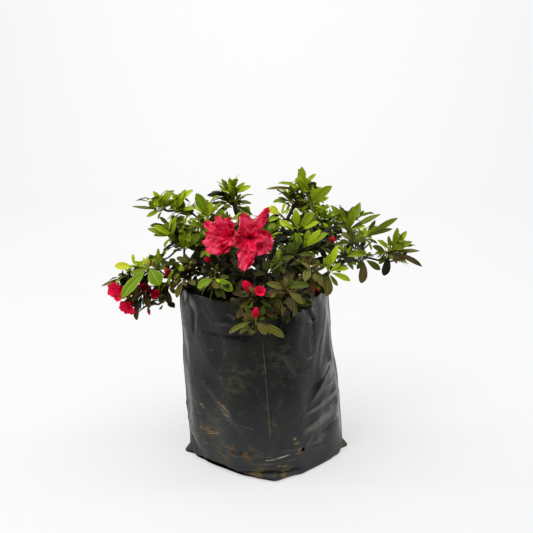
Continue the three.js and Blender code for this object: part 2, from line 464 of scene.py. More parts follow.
@dataclass(frozen=True)
class BlownFilm:
    """Low-density polythene, blown with carbon black: a supple, half-gloss black film.

    It gives the eye long soft grey reflections that break at each fold, under a bloom of dust.
    """

    black: str = "#040405"
    bloom: str = "#141716"
    grime: str = "#3a3a29"
    dust: str = "#47422f"
    scuff: str = "#8c8873"
    # painted reflection of the floor: the film is painted lighter towards its foot
    veil: str = "#313334"
    # painted sheen on the crests of the folds, partly wear
    rubbed: str = "#6f6f68"
    # painted shade in the grooves of the folds
    hollow: str = "#040404"
    # near-black of the underside and of the painted contact shadow along the foot of the wall
    soil: str = "#040302"
    gloss: float = 0.2
    patch: float = 34.0  # mm across a patch of dust
    crinkle: float = 7.0  # mm between the small wrinkles of handled film
    fleck: float = 4.4  # mm between dried splashes
    smear: float = 9.0  # mm across a smear of grime
    wear: float = 12.0  # mm across a patch of painted sheen and wear on a ridge
    scratch: float = 2.6  # mm between scuff marks; real ones are finer, and wouldn't show

    def material(self, stains: Iterable[Stain], scratches: Iterable[Scratch]) -> Material:
        """Builds the film, with the marks that it has picked up, and its painted sheen, highlights and
        shade.
        """
        material, tree, surface = new_material("carbon_black_polythene_film")
        coords = add_node(tree, "TexCoord").outputs["Object"]
        height = add_node(tree, "SeparateXYZ", links={0: coords}).outputs["Z"]
        clouds = self.noise(tree, coords, self.patch, 5)
        low_down = ranged(tree, height, 0.1, 0.02, 0.3, 1)
        dusty = product(tree, ranged(tree, clouds, 0.5, 0.75, 0, 0.6), low_down)
        haze = ranged(tree, self.noise(tree, coords, 2.2 * self.patch, 3), 0.35, 0.68, 0.05, 0.85)
        smears = ranged(tree, self.noise(tree, coords, self.smear, 7), 0.5, 0.72, 0, 0.75)
        handled = ranged(tree, self.noise(tree, coords, 1.6 * self.patch, 2), 0.4, 0.62, 0.2, 1)
        raised = add_node(tree, "Attribute", {"attribute_name": FOLD_MAP}).outputs["Fac"]
        # painted sheen on the crests of the folds, with some wear, broken into patches
        ridge_patches = ranged(tree, self.noise(tree, coords, self.wear, 5), 0.3, 0.6, 0.4, 1)
        rubbed = product(tree, ranged(tree, raised, 0.2, 1.5, 0, 0.7), ridge_patches)
        wall = add_node(tree, "Attribute", {"attribute_name": WALL_MAP}).outputs["Vector"]
        layers = [
            (haze, self.bloom),
            (product(tree, smears, handled), self.grime),
            (dusty, self.dust),
            (self.scuffs(tree, coords, low_down), self.scuff),
            (self.flecks(tree, coords), self.scuff),
            # painted reflection of the floor, lighter towards the foot of the film
            (ranged(tree, height, 0.11, 0.012, 0, 0.85), self.veil),
            # painted sheen on the crests of the folds, with some wear
            (rubbed, self.rubbed),
            # painted shade in the grooves of the folds
            (ranged(tree, raised, -0.2, -1.2, 0, 0.8), self.hollow),
            *((self.stained(tree, wall, stain), stain.colour) for stain in stains),
            # scratches, and lines of painted highlight and painted shade
            *((self.scratched(tree, wall, scratch), scratch.colour) for scratch in scratches),
        ]
        colour = self.black
        for share, over in layers:
            colour = blended(tree, share, colour, over)
        crinkles = self.noise(tree, coords, self.crinkle, 4)
        bump = add_node(tree, "Bump", {"Strength": 0.12, "Distance": 0.001}, {"Height": crinkles})
        matte = add_node(
            tree, "Math", {"operation": "ADD"},
            {0: ranged(tree, clouds, 0.35, 0.72, 0.19, 0.4), 1: ranged(tree, height, 0.03, 0.006, 0, 0.3)},
        ).outputs[0]
        looks = {"Base Color": colour, "Roughness": matte, "Normal": bump.outputs[0]}
        add_node(tree, surface, {"Specular IOR Level": self.gloss}, looks)
        return material

    def underside(self) -> Material:
        """Builds the near-black film of the underside and of a low band of the wall, where it is painted
        contact shadow.
        """
        return PlainSkin("soiled_polythene_film", self.soil, 0.9, 0.0).material()

    def noise(self, tree: NodeTree, coords: NodeSocket, across: float, detail: float) -> NodeSocket:
        """Adds noise with features of a size in mm."""
        settings = {"Scale": 1 / (across * MM), "Detail": detail, "Roughness": 0.62}
        return add_node(tree, "TexNoise", settings, {"Vector": coords}).outputs[0]

    def scuffs(self, tree: NodeTree, coords: NodeSocket, low_down: NodeSocket) -> NodeSocket:
        """Adds short pale scratches, nearly level, in a few places."""
        lying = add_node(
            tree, "Mapping",
            {"Rotation": (0.3, -0.2, 0.0), "Scale": (0.16, 0.16, 1.0)}, {"Vector": coords},
        ).outputs[0]
        lines = ranged(tree, self.noise(tree, lying, self.scratch, 2), 0.66, 0.74, 0, 0.65)
        places = ranged(tree, self.noise(tree, coords, 0.7 * self.patch, 2), 0.52, 0.66)
        return product(tree, lines, places, low_down)

    def flecks(self, tree: NodeTree, coords: NodeSocket) -> NodeSocket:
        """Adds small dried splashes of mud."""
        settings = {"Scale": 1 / (self.fleck * MM)}
        cells = add_node(tree, "TexVoronoi", settings, {"Vector": coords}).outputs["Distance"]
        spots = ranged(tree, cells, 0.14, 0.07, 0, 0.6)
        places = ranged(tree, self.noise(tree, coords, self.patch, 3), 0.42, 0.58)
        return product(tree, spots, places)

    def stained(self, tree: NodeTree, coords: NodeSocket, stain: Stain) -> NodeSocket:
        """Adds one stain with a ragged edge."""
        middle = stain.at * MM
        away = add_node(
            tree, "VectorMath", {"operation": "DISTANCE", 1: middle}, {0: coords}
        ).outputs["Value"]
        near = ranged(tree, away, stain.radius * MM, 0.25 * stain.radius * MM, 0, stain.strength)
        drawn = {"Scale": (0.35, 0.35, 1.0)}
        lying = add_node(tree, "Mapping", drawn, {"Vector": coords}).outputs[0]
        streaks = ranged(tree, self.noise(tree, lying, 3.4, 5), 0.42, 0.6)
        return product(tree, near, streaks)

    def scratched(self, tree: NodeTree, coords: NodeSocket, scratch: Scratch) -> NodeSocket:
        """Adds one straight mark (a scratch, a line of painted highlight or a line of painted shade), with
        a few breaks along it.
        """
        start, run = scratch.start * MM, (scratch.end - scratch.start) * MM
        length = float(np.linalg.norm(run))
        vector = functools.partial(add_node, tree, "VectorMath")
        away = vector({"operation": "SUBTRACT", 1: start}, {0: coords}).outputs[0]
        along = vector({"operation": "DOT_PRODUCT", 1: run / length}, {0: away}).outputs["Value"]
        held = add_node(tree, "Clamp", {"Max": length}, {"Value": along}).outputs[0]
        nearest = vector({"operation": "SCALE", 0: run / length}, {"Scale": held}).outputs[0]
        gap = vector({"operation": "DISTANCE"}, {0: away, 1: nearest}).outputs["Value"]
        line = ranged(tree, gap, scratch.width * MM, 0.3 * scratch.width * MM, 0, scratch.strength)
        return product(tree, line, ranged(tree, self.noise(tree, coords, 3.0, 2), 0.36, 0.5, 0.25, 1))


@dataclass(frozen=True)
class PottingMix:
    """Peat and composted bark, damp: a nearly black crumb with brown and a few pale grains."""

    peat: str = "#1d1611"
    bark: str = "#4a3526"
    crumb: float = 3.0  # mm

    def material(self) -> Material:
        """Builds the mix."""
        material, tree, surface = new_material("damp_peat_potting_mix")
        coords = add_node(tree, "TexCoord").outputs["Object"]
        settings = {"Scale": 1 / (self.crumb * MM), "Detail": 6.0}
        grains = add_node(tree, "TexNoise", settings, {"Vector": coords}).outputs[0]
        bump = add_node(tree, "Bump", {"Strength": 0.8, "Distance": 0.002}, {"Height": grains})
        colour = blended(tree, ranged(tree, grains, 0.42, 0.68), self.peat, self.bark)
        looks = {"Base Color": colour, "Normal": bump.outputs[0]}
        add_node(tree, surface, {"Roughness": 0.92}, looks)
        return material


@dataclass(frozen=True)
class AzaleaBark:
    """Thin azalea bark: grey-brown plates that flake in short strips over a redder layer."""

    plate: str = "#3c2d21"
    under: str = "#1c120c"
    strip: float = 4.0  # mm across a strip

    def material(self) -> Material:
        """Builds the bark, its strips drawn out along the upright limbs."""
        material, tree, surface = new_material("flaking_azalea_bark")
        coords = add_node(tree, "TexCoord").outputs["Object"]
        drawn = add_node(tree, "Mapping", {"Scale": (1.0, 1.0, 0.3)}, {"Vector": coords}).outputs[0]
        settings = {"Scale": 1 / (self.strip * MM), "Detail": 8.0, "Roughness": 0.6}
        strips = add_node(tree, "TexNoise", settings, {"Vector": drawn}).outputs[0]
        bump = add_node(tree, "Bump", {"Strength": 0.7, "Distance": 0.0008}, {"Height": strips})
        colour = blended(tree, ranged(tree, strips, 0.38, 0.62), self.under, self.plate)
        looks = {"Base Color": colour, "Normal": bump.outputs[0]}
        add_node(tree, surface, {"Roughness": 0.85}, looks)
        return material


@dataclass(frozen=True)
class PlainSkin:
    """A skin of one even colour: a leaf's blade or rib, a green shoot, or the near-black film of the bag's
    underside and painted contact shadow.
    """

    name: str
    colour: str
    roughness: float
    gloss: float = 0.15

    def material(self) -> Material:
        """Builds the skin."""
        material, tree, surface = new_material(self.name)
        settings = {"Roughness": self.roughness, "Specular IOR Level": self.gloss}
        add_node(tree, surface, {"Base Color": linear(self.colour), **settings})
        return material


@dataclass(frozen=True)
class Petal:
    """An azalea petal: thin and velvety, with fine veins, painted lighter towards its rim and on the crests
    of its folds, darker in its folds, and darker at its throat.

    U runs across the petal and V from its claw to its rim.
    """

    # rim is painted highlight and fold is painted shade; throat is partly the petal's own colour, partly
    # painted shade
    rim: str = "#ff5a7c"
    limb: str = "#e41244"
    throat: str = "#a60622"
    fold: str = "#b8082c"
    veins: float = 6.0  # across one petal
    crumple: float = 8.0  # mm across a soft fold

    def material(self) -> Material:
        """Builds the petal."""
        material, tree, surface = new_material("azalea_petal")
        sheet = add_node(tree, "UVMap", {"uv_map": PETAL_MAP}).outputs[0]
        parts = add_node(tree, "SeparateXYZ", links={0: sheet})
        across, along = parts.outputs["X"], parts.outputs["Y"]
        spread = add_node(
            tree, "Math", {"operation": "MULTIPLY", 1: self.veins * 2 * math.pi}, {0: across}
        ).outputs[0]
        waves = add_node(tree, "Math", {"operation": "SINE"}, {0: spread}).outputs[0]
        vein = ranged(tree, waves, 0.6, 1.0, 0, 0.16)
        coords = add_node(tree, "TexCoord").outputs["Object"]
        settings = {"Scale": 1 / (self.crumple * MM), "Detail": 2.0}
        folds = add_node(tree, "TexNoise", settings, {"Vector": coords}).outputs[0]
        # painted light: lighter towards the rim and on the crests of the soft folds
        lit = product(tree, ranged(tree, along, 0.35, 0.9), ranged(tree, folds, 0.4, 0.6, 0.1, 1))
        colour = blended(tree, lit, self.limb, self.rim)
        colour = blended(tree, vein, colour, self.limb)
        # painted shade in the soft folds
        colour = blended(tree, ranged(tree, folds, 0.5, 0.34, 0, 0.7), colour, self.fold)
        # darker at the throat: the petal's own colour, and painted shade in the recess
        colour = blended(tree, ranged(tree, along, 0.42, 0.1), colour, self.throat)
        bump = add_node(tree, "Bump", {"Strength": 0.3, "Distance": 0.0014}, {"Height": folds})
        looks = {"Base Color": colour, "Normal": bump.outputs[0]}
        add_node(tree, surface, {"Roughness": 0.6, "Specular IOR Level": 0.04}, looks)
        return material


@dataclass(frozen=True)
class LightTable:
    """Opal acrylic sheet lit from behind: an even white that holds only a faint shadow."""

    face: str = "#979797"
    glow: float = 0.54

    def material(self) -> Material:
        """Builds the sheet."""
        material, tree, surface = new_material("opal_acrylic_sheet")
        add_node(tree, surface, {
            "Base Color": linear(self.face), "Roughness": 0.9, "Specular IOR Level": 0.0,
            "Emission Color": linear("#ffffff"), "Emission Strength": self.glow,
        })
        return material


# ---- bag

@dataclass(frozen=True)
class Section:
    """A level section of the filled bag: half its side, how square it is, how far its ears reach."""

    z: float
    half: float
    square: float
    ear: float


@dataclass(frozen=True)
class Crease:
    """A fold set in the film between two places on the wall, each in degrees round and mm up.

    A depth above zero is a ridge and one below zero is a groove.
    """

    start: tuple[float, float]
    end: tuple[float, float]
    depth: float
    width: float


@dataclass
class NurseryBag:
    """The filled bag: four folded corners, a slack rim above the soil, and a flat underside."""

    sections: tuple[Section, ...] = (
        Section(0, 74.5, 2.85, 8),
        Section(3, 75, 2.85, 6.5),
        Section(10, 75, 2.8, 1.2),
        Section(35, 74, 2.9, 0),
        Section(80, 73.5, 3, 0),
        Section(130, 73.5, 2.8, 0),
        Section(182, 75.5, 2.3, 0),
    )
    turn: float = math.radians(5.3)
    lean: float = -12.5
    film: float = 0.4
    ear_width: float = 4.2  # degrees
    around: int = 320
    rows: int = 120
    foot: int = 14  # mm up from the ground with a row for each mm
    arc: float = 1.25  # mm of wall to a degree
    soil_line: float = 158.0
    # height of the painted contact shadow along the foot of the wall
    soiled: float = 2.0  # mm up from the ground
    folds: tuple[Crease, ...] = tuple(Crease(*sizes) for sizes in (
        # its start and its end, its depth and its width
        ((-168, 182), (-160, 128), 2.4, 3.2), ((-150, 182), (-142, 160), 2.1, 3.0),
        ((-146, 172), (-150, 140), -1.8, 2.5), ((-138, 146), (-92, 149), -1.2, 2.4),
        ((-126, 156), (-104, 160), 0.7, 3.0), ((-52, 182), (-40, 155), -2.0, 1.8),
        ((-46, 182), (-36, 158), 1.9, 2.4), ((-40, 156), (-43, 118), -1.3, 1.5),
        ((-48, 153), (-34, 157), 1.0, 1.6), ((-10, 108), (-50, 68), 1.3, 3.6),
        ((-34, 96), (-52, 80), -0.8, 3.0), ((-4, 90), (-32, 80), 0.9, 1.8), ((-2, 76), (-60, 60), 1.4, 2.4),
        ((-4, 70), (-36, 56), -1.2, 2.4), ((8, 66), (-62, 42), 1.2, 4.0), ((6, 50), (-40, 34), -1.1, 4.0),
        ((-16, 166), (-34, 98), 1.3, 4.4), ((-4, 128), (-24, 84), 1.0, 3.6),
        ((-14, 52), (-60, 46), 0.9, 3.6), ((-4, 150), (-12, 96), -0.9, 2.4),
        ((-66, 182), (-58, 164), 1.2, 3.4), ((-112, 172), (-98, 158), 1.0, 2.4),
        ((-60, 26), (-30, 30), 1.1, 1.8), ((-60, 26), (-32, 22), -1.2, 1.6),
        ((-58, 27), (-48, 36), 0.9, 1.6), ((-62, 27), (-82, 32), 0.8, 2.0),
        ((-168, 22), (-150, 30), 1.1, 2.0), ((-168, 22), (-158, 8), -1.2, 2.0),
        ((-176, 40), (-150, 14), 1.3, 2.4), ((-124, 22), (-92, 28), -1.0, 2.2),
        ((-112, 5), (-84, 9), -2.0, 1.3), ((-108, 9), (-80, 13), 1.3, 1.3), ((-92, 9), (-64, 8), -1.8, 1.2),
        ((-104, 15), (-78, 19), 1.0, 1.5), ((-150, 96), (-100, 40), 0.8, 5.0),
        ((-78, 140), (-60, 96), 0.7, 4.0),
    ))
    stains: tuple[tuple[float, float, float, float, str], ...] = (
        # degrees round, mm up, radius, strength and colour
        (-106, 21, 8, 0.85, "#70491f"), (-118, 28, 9, 0.6, "#6a4f2c"), (-144, 36, 18, 0.65, "#54432a"),
        (-121, 68, 9, 0.5, "#5f4f2c"), (-166, 56, 17, 0.7, "#54432d"), (-66, 33, 5, 0.85, "#98793c"),
        (-63, 27, 5, 0.85, "#8d6a36"), (-67, 39, 3, 0.7, "#9a8a58"), (-110, 100, 26, 0.45, "#45442c"),
        (-74, 128, 24, 0.45, "#45442f"), (-128, 52, 22, 0.5, "#4a412a"), (-170, 34, 16, 0.6, "#6a5c44"),
        (-128, 16, 18, 0.6, "#5a4c34"), (-100, 26, 14, 0.5, "#54492f"), (-150, 12, 14, 0.5, "#57503f"),
        (-84, 60, 10, 0.4, "#5d5637"), (-24, 73, 8, 0.7, "#4d4733"), (-6, 32, 3.4, 1.0, "#3d2419"),
        (-14, 14, 12, 0.6, "#57452d"), (-96, 4, 15, 1.0, "#5a4d31"), (-80, 3, 20, 1.0, "#665838"),
        (-88, 6, 12, 1.0, "#4f442c"), (-172, 3, 13, 0.8, "#4f3d29"), (6, 4, 14, 0.8, "#54422d"),
        (4, 32, 12, 0.45, "#5a4a35"),
    )
    # straight marks: scratches, and lines of painted highlight and painted shade
    scratches: tuple[tuple[float, float, float, float, float, float, str], ...] = (
        # degrees round and mm up at its start and at its end, half width, strength and colour
        # painted highlight straight down the ridge of the gusset at the front, with a line of painted shade
        # beside it, and thin painted highlights along the folds on the right
        (-86.4, 143, -86, 96, 0.6, 0.4, "#6a6a5e"), (-86, 96, -86, 46, 0.8, 0.4, "#6a6344"),
        (-84.8, 143, -84.6, 60, 0.9, 0.8, "#030303"), (-10, 87, -28, 82, 1.2, 0.35, "#77776f"),
        (-12, 70, -50, 62, 1.2, 0.4, "#77776f"), (-40, 147, -40, 118, 0.7, 0.5, "#6b6b62"),
        # where the bag has been dragged
        (-152, 40, -140, 36, 0.6, 0.8, "#8a6f45"), (-148, 43, -141, 40, 0.5, 0.7, "#7c6540"),
        (-146, 40, -138, 37.5, 0.45, 0.7, "#937c50"), (-143, 35, -130, 39, 0.7, 0.8, "#93794c"),
        (-140, 38, -129, 41, 0.5, 0.7, "#8a7148"), (-150, 29, -143, 22, 0.6, 0.5, "#6f5a38"),
        (-162, 68, -150, 66, 0.6, 0.6, "#75613f"), (-128, 74, -118, 67, 0.8, 0.7, "#7d6a3d"),
        (-124, 72, -116, 64, 0.6, 0.6, "#8b7a4c"), (-123, 63, -117, 62, 0.5, 0.7, "#9b9478"),
        (-90, 21.5, -72, 25, 0.55, 0.75, "#b4b2a0"), (-84, 23.5, -74, 25, 0.4, 0.8, "#c3c1ae"),
        (-116, 30, -112, 24, 0.6, 0.6, "#7a5a30"), (-124, 23, -116, 20, 0.6, 0.5, "#6f5531"),
        (-82, 15, -76, 14, 1.3, 0.6, "#77735c"),
        # the shadow in the fold at the front corner
        (-96, 8.6, -66, 7.4, 1.1, 0.95, "#040303"), (-110, 10.5, -86, 12.5, 0.8, 0.6, "#050404"),
    )
    holes: tuple[tuple[float, float], ...] = (
        (-168, 22), (-60, 26), (12, 21), (56, 25), (102, 22), (146, 26),
    )
    hole_radius: float = 2.2
    fine: int = 18  # thin scratches
    handled: int = 170  # small creases of film that has been handled
    straight: float = 8.0  # degrees round the bag over which a mark may run straight
    finish: BlownFilm = BlownFilm()

    def fine_scratches(self) -> list[Scratch]:
        """Draws the fine scratches low on the front, where the bag was dragged about."""
        rng = np.random.default_rng(3)
        found = []
        for _ in range(self.fine):
            degrees, z = rng.uniform(-172, -60), rng.triangular(8, 22, 96)
            run, rise = rng.uniform(3, 11), rng.uniform(-3, 2)
            ends = self.point(degrees, z), self.point(degrees + run / self.arc, z + rise)
            colour = rng.choice(("#7a6543", "#8c7b55", "#6b6f66", "#97937c"))
            found.append(Scratch(*ends, rng.uniform(0.35, 0.6), rng.uniform(0.4, 0.8), str(colour)))
        return found

    def bent_scratch(
        self, start: float, low: float, end: float, high: float, *mark: float | str
    ) -> list[Scratch]:
        """Splits a mark that runs round the bag into straight ones that stay on the wall.

        Args:
            start: Degrees at its start.
            low: Height at its start.
            end: Degrees at its end.
            high: Height at its end.
            mark: Its width, strength and colour.

        Returns:
            The straight marks.
        """
        steps = math.ceil(abs(end - start) / self.straight) or 1
        stops = [self.point(*stop) for stop in np.linspace((start, low), (end, high), steps + 1)]
        return [Scratch(near, far, *mark) for near, far in zip(stops, stops[1:])]

    @property
    def rim(self) -> float:
        """The height of the rim."""
        return self.sections[-1].z

    def section(self, z: ndarray, key: str) -> ndarray:
        """Reads one value of the sections at some heights."""
        return np.interp(z, [s.z for s in self.sections], [getattr(s, key) for s in self.sections])

    def wall(self, angle: ndarray, z: ndarray) -> ndarray:
        """Returns the distance from the bag's middle line to its smooth wall."""
        side = angle - self.turn - math.pi / 4
        power = self.section(z, "square")
        rounding = (np.abs(np.cos(side)) ** power + np.abs(np.sin(side)) ** power) ** (1 / power)
        return self.section(z, "half") / rounding

    def from_corner(self, angle: ndarray) -> ndarray:
        """Returns the degrees from the nearest folded corner."""
        return (np.degrees(angle - self.turn) + 45) % 90 - 45

    def middle(self, z: ndarray) -> ndarray:
        """Returns how far along X the bag's middle line stands at some heights."""
        return self.lean * z / self.rim

    def creased(self, angle: ndarray, z: ndarray, creases: Iterable[Crease]) -> ndarray:
        """Adds up how far the creases push the wall outwards.

        Args:
            angle: Directions from the middle line, in radians.
            z: Heights.
            creases: The creases.

        Returns:
            Millimetres for each place.
        """
        total = np.zeros_like(z)
        for crease in creases:
            (first, low), (last, high) = crease.start, crease.end
            run = ((last - first + 180) % 360 - 180) * self.arc, high - low
            length = math.hypot(*run)
            round_way = ((np.degrees(angle) - first + 180) % 360 - 180) * self.arc
            up_way = z - low
            along = (round_way * run[0] + up_way * run[1]) / length
            off = (round_way * run[1] - up_way * run[0]) / length
            fading = np.sqrt(np.clip(np.sin(math.pi * np.clip(along / length, 0, 1)), 0, 1))
            steep = np.where(off > 0, 0.7, 1.5) * crease.width
            total += crease.depth * fading * np.exp(-(np.abs(off) / steep) ** 1.4)
        return total

    def crumples(self, rng: Generator) -> list[Crease]:
        """Draws the many small creases of film that has been handled."""
        found = []
        for _ in range(self.handled):
            place = (rng.uniform(-180, 180), rng.uniform(6, 176))
            way, length = rng.uniform(0, math.pi), rng.uniform(8, 34)
            end = (place[0] + length * math.cos(way) / self.arc, place[1] + length * math.sin(way))
            depth = rng.choice((-1, 1)) * rng.uniform(0.15, 0.5)
            found.append(Crease(place, end, depth, rng.uniform(1.2, 2.6)))
        return found

    def relief(self, angle: ndarray, z: ndarray) -> ndarray:
        """Adds up all that makes the film stand out from the smooth wall.

        Args:
            angle: Directions from the middle line, in radians.
            z: Heights.

        Returns:
            Millimetres for each place.
        """
        rng = np.random.default_rng(11)
        off = self.from_corner(angle)
        places = np.c_[np.cos(angle) * 70, np.sin(angle) * 70, z]
        slump = 1.1 * ripples(places, 88, rng) + 0.5 * ripples(places, 38, rng)
        ridge = 0.8 * np.exp(-np.abs(off) / 0.9) + 0.7 * np.exp(-np.abs(off) / 3)
        ridge *= smooth_step(8, 40, z)
        slump -= 5.0 * hill(np.degrees(angle - self.turn), 0, 34) * smooth_step(30, 150, z)
        crush = ripples(places * (1, 1, 0.6), 27, rng, 5)
        slump += 0.7 * np.sign(crush) * np.abs(crush) ** 0.7
        hollow = -0.8 * hill(np.abs(off), 8, 5) * smooth_step(20, 60, z)
        slack = smooth_step(self.soil_line, self.rim, z)
        flutter = 1.2 * np.sin(3 * angle + 0.8) + np.sin(7 * angle) + 0.7 * np.sin(12 * angle + 2)
        flutter *= slack
        pleats = 0.8 * np.exp(-z / 9) * np.sin(np.degrees(angle) / 2.6) * hill(np.abs(off), 14, 12)
        folded = self.creased(angle, z, self.folds) * smooth_step(0, 5, z)
        crumpled = self.creased(angle, z, self.crumples(rng)) * smooth_step(10, 26, z)
        return slump + ridge + hollow + flutter + pleats + folded + crumpled

    def ears(self, angle: ndarray, z: ndarray) -> ndarray:
        """Shapes the welded corners that stand out at the base.

        Args:
            angle: Directions from the middle line, in radians.
            z: Heights.

        Returns:
            Millimetres for each place.
        """
        reach = self.section(z, "ear")
        front = hill(angle - self.turn, -math.pi / 2, 0.35)
        tucked = np.interp(z, (0, 5, 7, 12), (6, 5.5, 2, 0.5))
        reach = reach * (1 - front) + tucked * front
        width = self.ear_width * (1 + 0.5 * front)
        return reach * hill(self.from_corner(angle), 0, width)

    def point(self, degrees: float, z: float, proud: float = 0.0) -> ndarray:
        """Returns a place on the smooth wall, or a little proud of it."""
        angle = math.radians(degrees)
        radius = float(self.wall(np.array(angle), np.array(z))) + proud
        return np.array((self.middle(z) + radius * math.cos(angle), radius * math.sin(angle), z))

    def shell(self) -> Mesh:
        """Builds the creased skin of the bag, open at its rim."""
        base = [(share, 0.0) for share in (0, 0.25, 0.5, 0.75, 0.9, 0.97)]
        close = np.arange(self.foot)
        heights = np.r_[close, np.linspace(self.foot, self.rim, self.rows - self.foot)]
        profile = base + [(1.0, z) for z in heights]
        mesh, angle, share, z = spun(profile, self.around)
        angle += self.turn - 0.13 * np.sin(4 * angle)  # closer steps at the four corners
        angle = (angle + math.pi) % (2 * math.pi) - math.pi
        radius = self.wall(angle, z) + self.ears(angle, z) + share ** 8 * self.relief(angle, z)
        lifted = 3.0 + 6.0 * hill(np.degrees(angle - self.turn), -138, 34)
        radius -= lifted * np.exp(-z / 1.3)
        slack = smooth_step(self.soil_line, self.rim, z)
        lift = slack * (1.3 * np.sin(2 * angle + 0.6) + 0.6 * np.sin(5 * angle + 1))
        tuck = 0.5 * hill(share, 1, 0.05) * (z < 0.1)
        move_points(mesh, np.c_[
            self.middle(z) + share * radius * np.cos(angle),
            share * radius * np.sin(angle),
            z + lift + tuck,
        ])
        return mesh

    def map_wall(self, mesh: Mesh) -> None:
        """Keeps, for each point of the film, where it would lie on the smooth wall, and its fold."""
        x, y, z = points_of(mesh).T
        angle = np.arctan2(y, x - self.middle(z))
        radius = self.wall(angle, z)
        places = np.c_[self.middle(z) + radius * np.cos(angle), radius * np.sin(angle), z]
        layer = mesh.attributes.new(WALL_MAP, "FLOAT_VECTOR", "POINT")
        layer.data.foreach_set("vector", (places * MM).ravel())
        layer = mesh.attributes.new(FOLD_MAP, "FLOAT", "POINT")
        layer.data.foreach_set("value", self.creased(angle, z, self.folds) * smooth_step(0, 5, z))

    def punches(self) -> Object:
        """Makes the pins that punch the drain holes, joined in one mesh."""
        bars = []
        for degrees, z in self.holes:
            outer, inner = self.point(degrees, z, 9), self.point(degrees, z, -9)
            bars.append(Bar(np.array((outer, inner)), np.array((self.hole_radius,) * 2)))
        return linked("punches", bars_mesh("punches", bars, 16))

    def build(self) -> Object:
        """Builds the bag, gives the film its thickness and punches its drain holes."""
        thing = linked("film_bag", self.shell())
        thickness = thing.modifiers.new("thickness", "SOLIDIFY")
        thickness.thickness = self.film * MM
        thickness.offset = -1
        pins = self.punches()
        punch = thing.modifiers.new("drain_holes", "BOOLEAN")
        punch.operation = "DIFFERENCE"
        punch.solver = "EXACT"
        punch.object = pins
        mesh = settled(thing)
        bpy.data.objects.remove(pins)
        self.map_wall(mesh)
        marks = [
            Stain(self.point(degrees, z), radius, strength, colour)
            for degrees, z, radius, strength, colour in self.stains
        ]
        # scratches, and lines of painted highlight and painted shade, split to follow the wall
        lines = [line for mark in self.scratches for line in self.bent_scratch(*mark)]
        centres = np.array([face.center for face in mesh.polygons]) / MM
        bearing = np.degrees(np.arctan2(centres[:, 1], centres[:, 0]) - self.turn)
        # faces below this edge take the near-black film: the underside, and a band of painted contact
        # shadow on the wall, highest on the left front
        edge = self.soiled * (1 + 2.6 * hill(bearing, -140, 32))
        mesh.polygons.foreach_set("material_index", (centres[:, 2] < edge).astype(np.int32))
        skins = [self.finish.material(marks, lines + self.fine_scratches()), self.finish.underside()]
        return piece("film_bag", mesh, skins, ["nursery_bag"])


# ---- growing medium

@dataclass
class GrowingMedium:
    """The root ball's potting mix, uneven on top and strewn with crumbs."""

    bag: NurseryBag
    inset: float = 4.2
    level: float = 154.0
    crumbs: int = 420
    around: int = 96
    finish: PottingMix = PottingMix()

    def build(self) -> list[Object]:
        """Builds the mix inside the bag."""
        sides = [(1.0, z) for z in np.linspace(1.5, self.level - 2, 20)]
        top = [(share, self.level) for share in np.linspace(0.97, 0, 26)]
        profile = [(0.0, 1.5), (0.5, 1.5), *sides, *top]
        mesh, angle, share, z = spun(profile, self.around)
        angle = angle + self.bag.turn
        pressed = np.minimum(self.bag.relief(angle, z), 0)
        radius = share * (self.bag.wall(angle, z) + pressed - self.inset)
        places = np.c_[self.bag.middle(z) + radius * np.cos(angle), radius * np.sin(angle), z]
        rng = np.random.default_rng(5)
        rough = 1.6 * ripples(places, 31, rng) + 0.8 * ripples(places, 9, rng)
        places[:, 2] += np.where(z > self.level - 1, rough, 0)
        move_points(mesh, places)
        made = piece("potting_mix", mesh, [self.finish.material()], ["growing_medium"])
        return [made, self.strewn(made.data.materials[0], rng)]

    def strewn(self, mix: Material, rng: Generator) -> Object:
        """Drops crumbs of bark and peat on the surface.

        Args:
            mix: The mix's material.
            rng: Where their places and sizes are drawn from.

        Returns:
            The crumbs, as one piece.
        """
        form = bmesh.new()
        bmesh.ops.create_icosphere(form, subdivisions=1, radius=1.0)
        ball = np.array([vert.co for vert in form.verts])
        sides = np.array([[vert.index for vert in face.verts] for face in form.faces])
        form.free()
        angle = rng.uniform(0, 2 * math.pi, self.crumbs)
        share = np.sqrt(rng.uniform(0.02, 0.96, self.crumbs))
        level = np.full(self.crumbs, self.level)
        radius = share * (self.bag.wall(angle, level) - 7)
        at = np.c_[self.bag.middle(level) + radius * np.cos(angle), radius * np.sin(angle), level + 0.8]
        size = rng.uniform(0.8, 2.4, (self.crumbs, 1))
        size = size * rng.uniform((0.7, 0.7, 0.4), (1.8, 1.2, 0.8), (self.crumbs, 3))
        points = at[:, None, :] + ball * size[:, None, :]
        faces = np.arange(self.crumbs)[:, None, None] * len(ball) + sides
        mesh = mesh_of("crumbs", points.reshape(-1, 3), faces.reshape(-1, 3))
        return piece("crumbs", mesh, [mix])


# ---- stem and boughs

@dataclass(frozen=True)
class Bough:
    """A bough: the limb it springs from and how far along, the mass it reaches, its arch and radius."""

    parent: str
    along: float
    mass: str
    arch: float
    radius: float


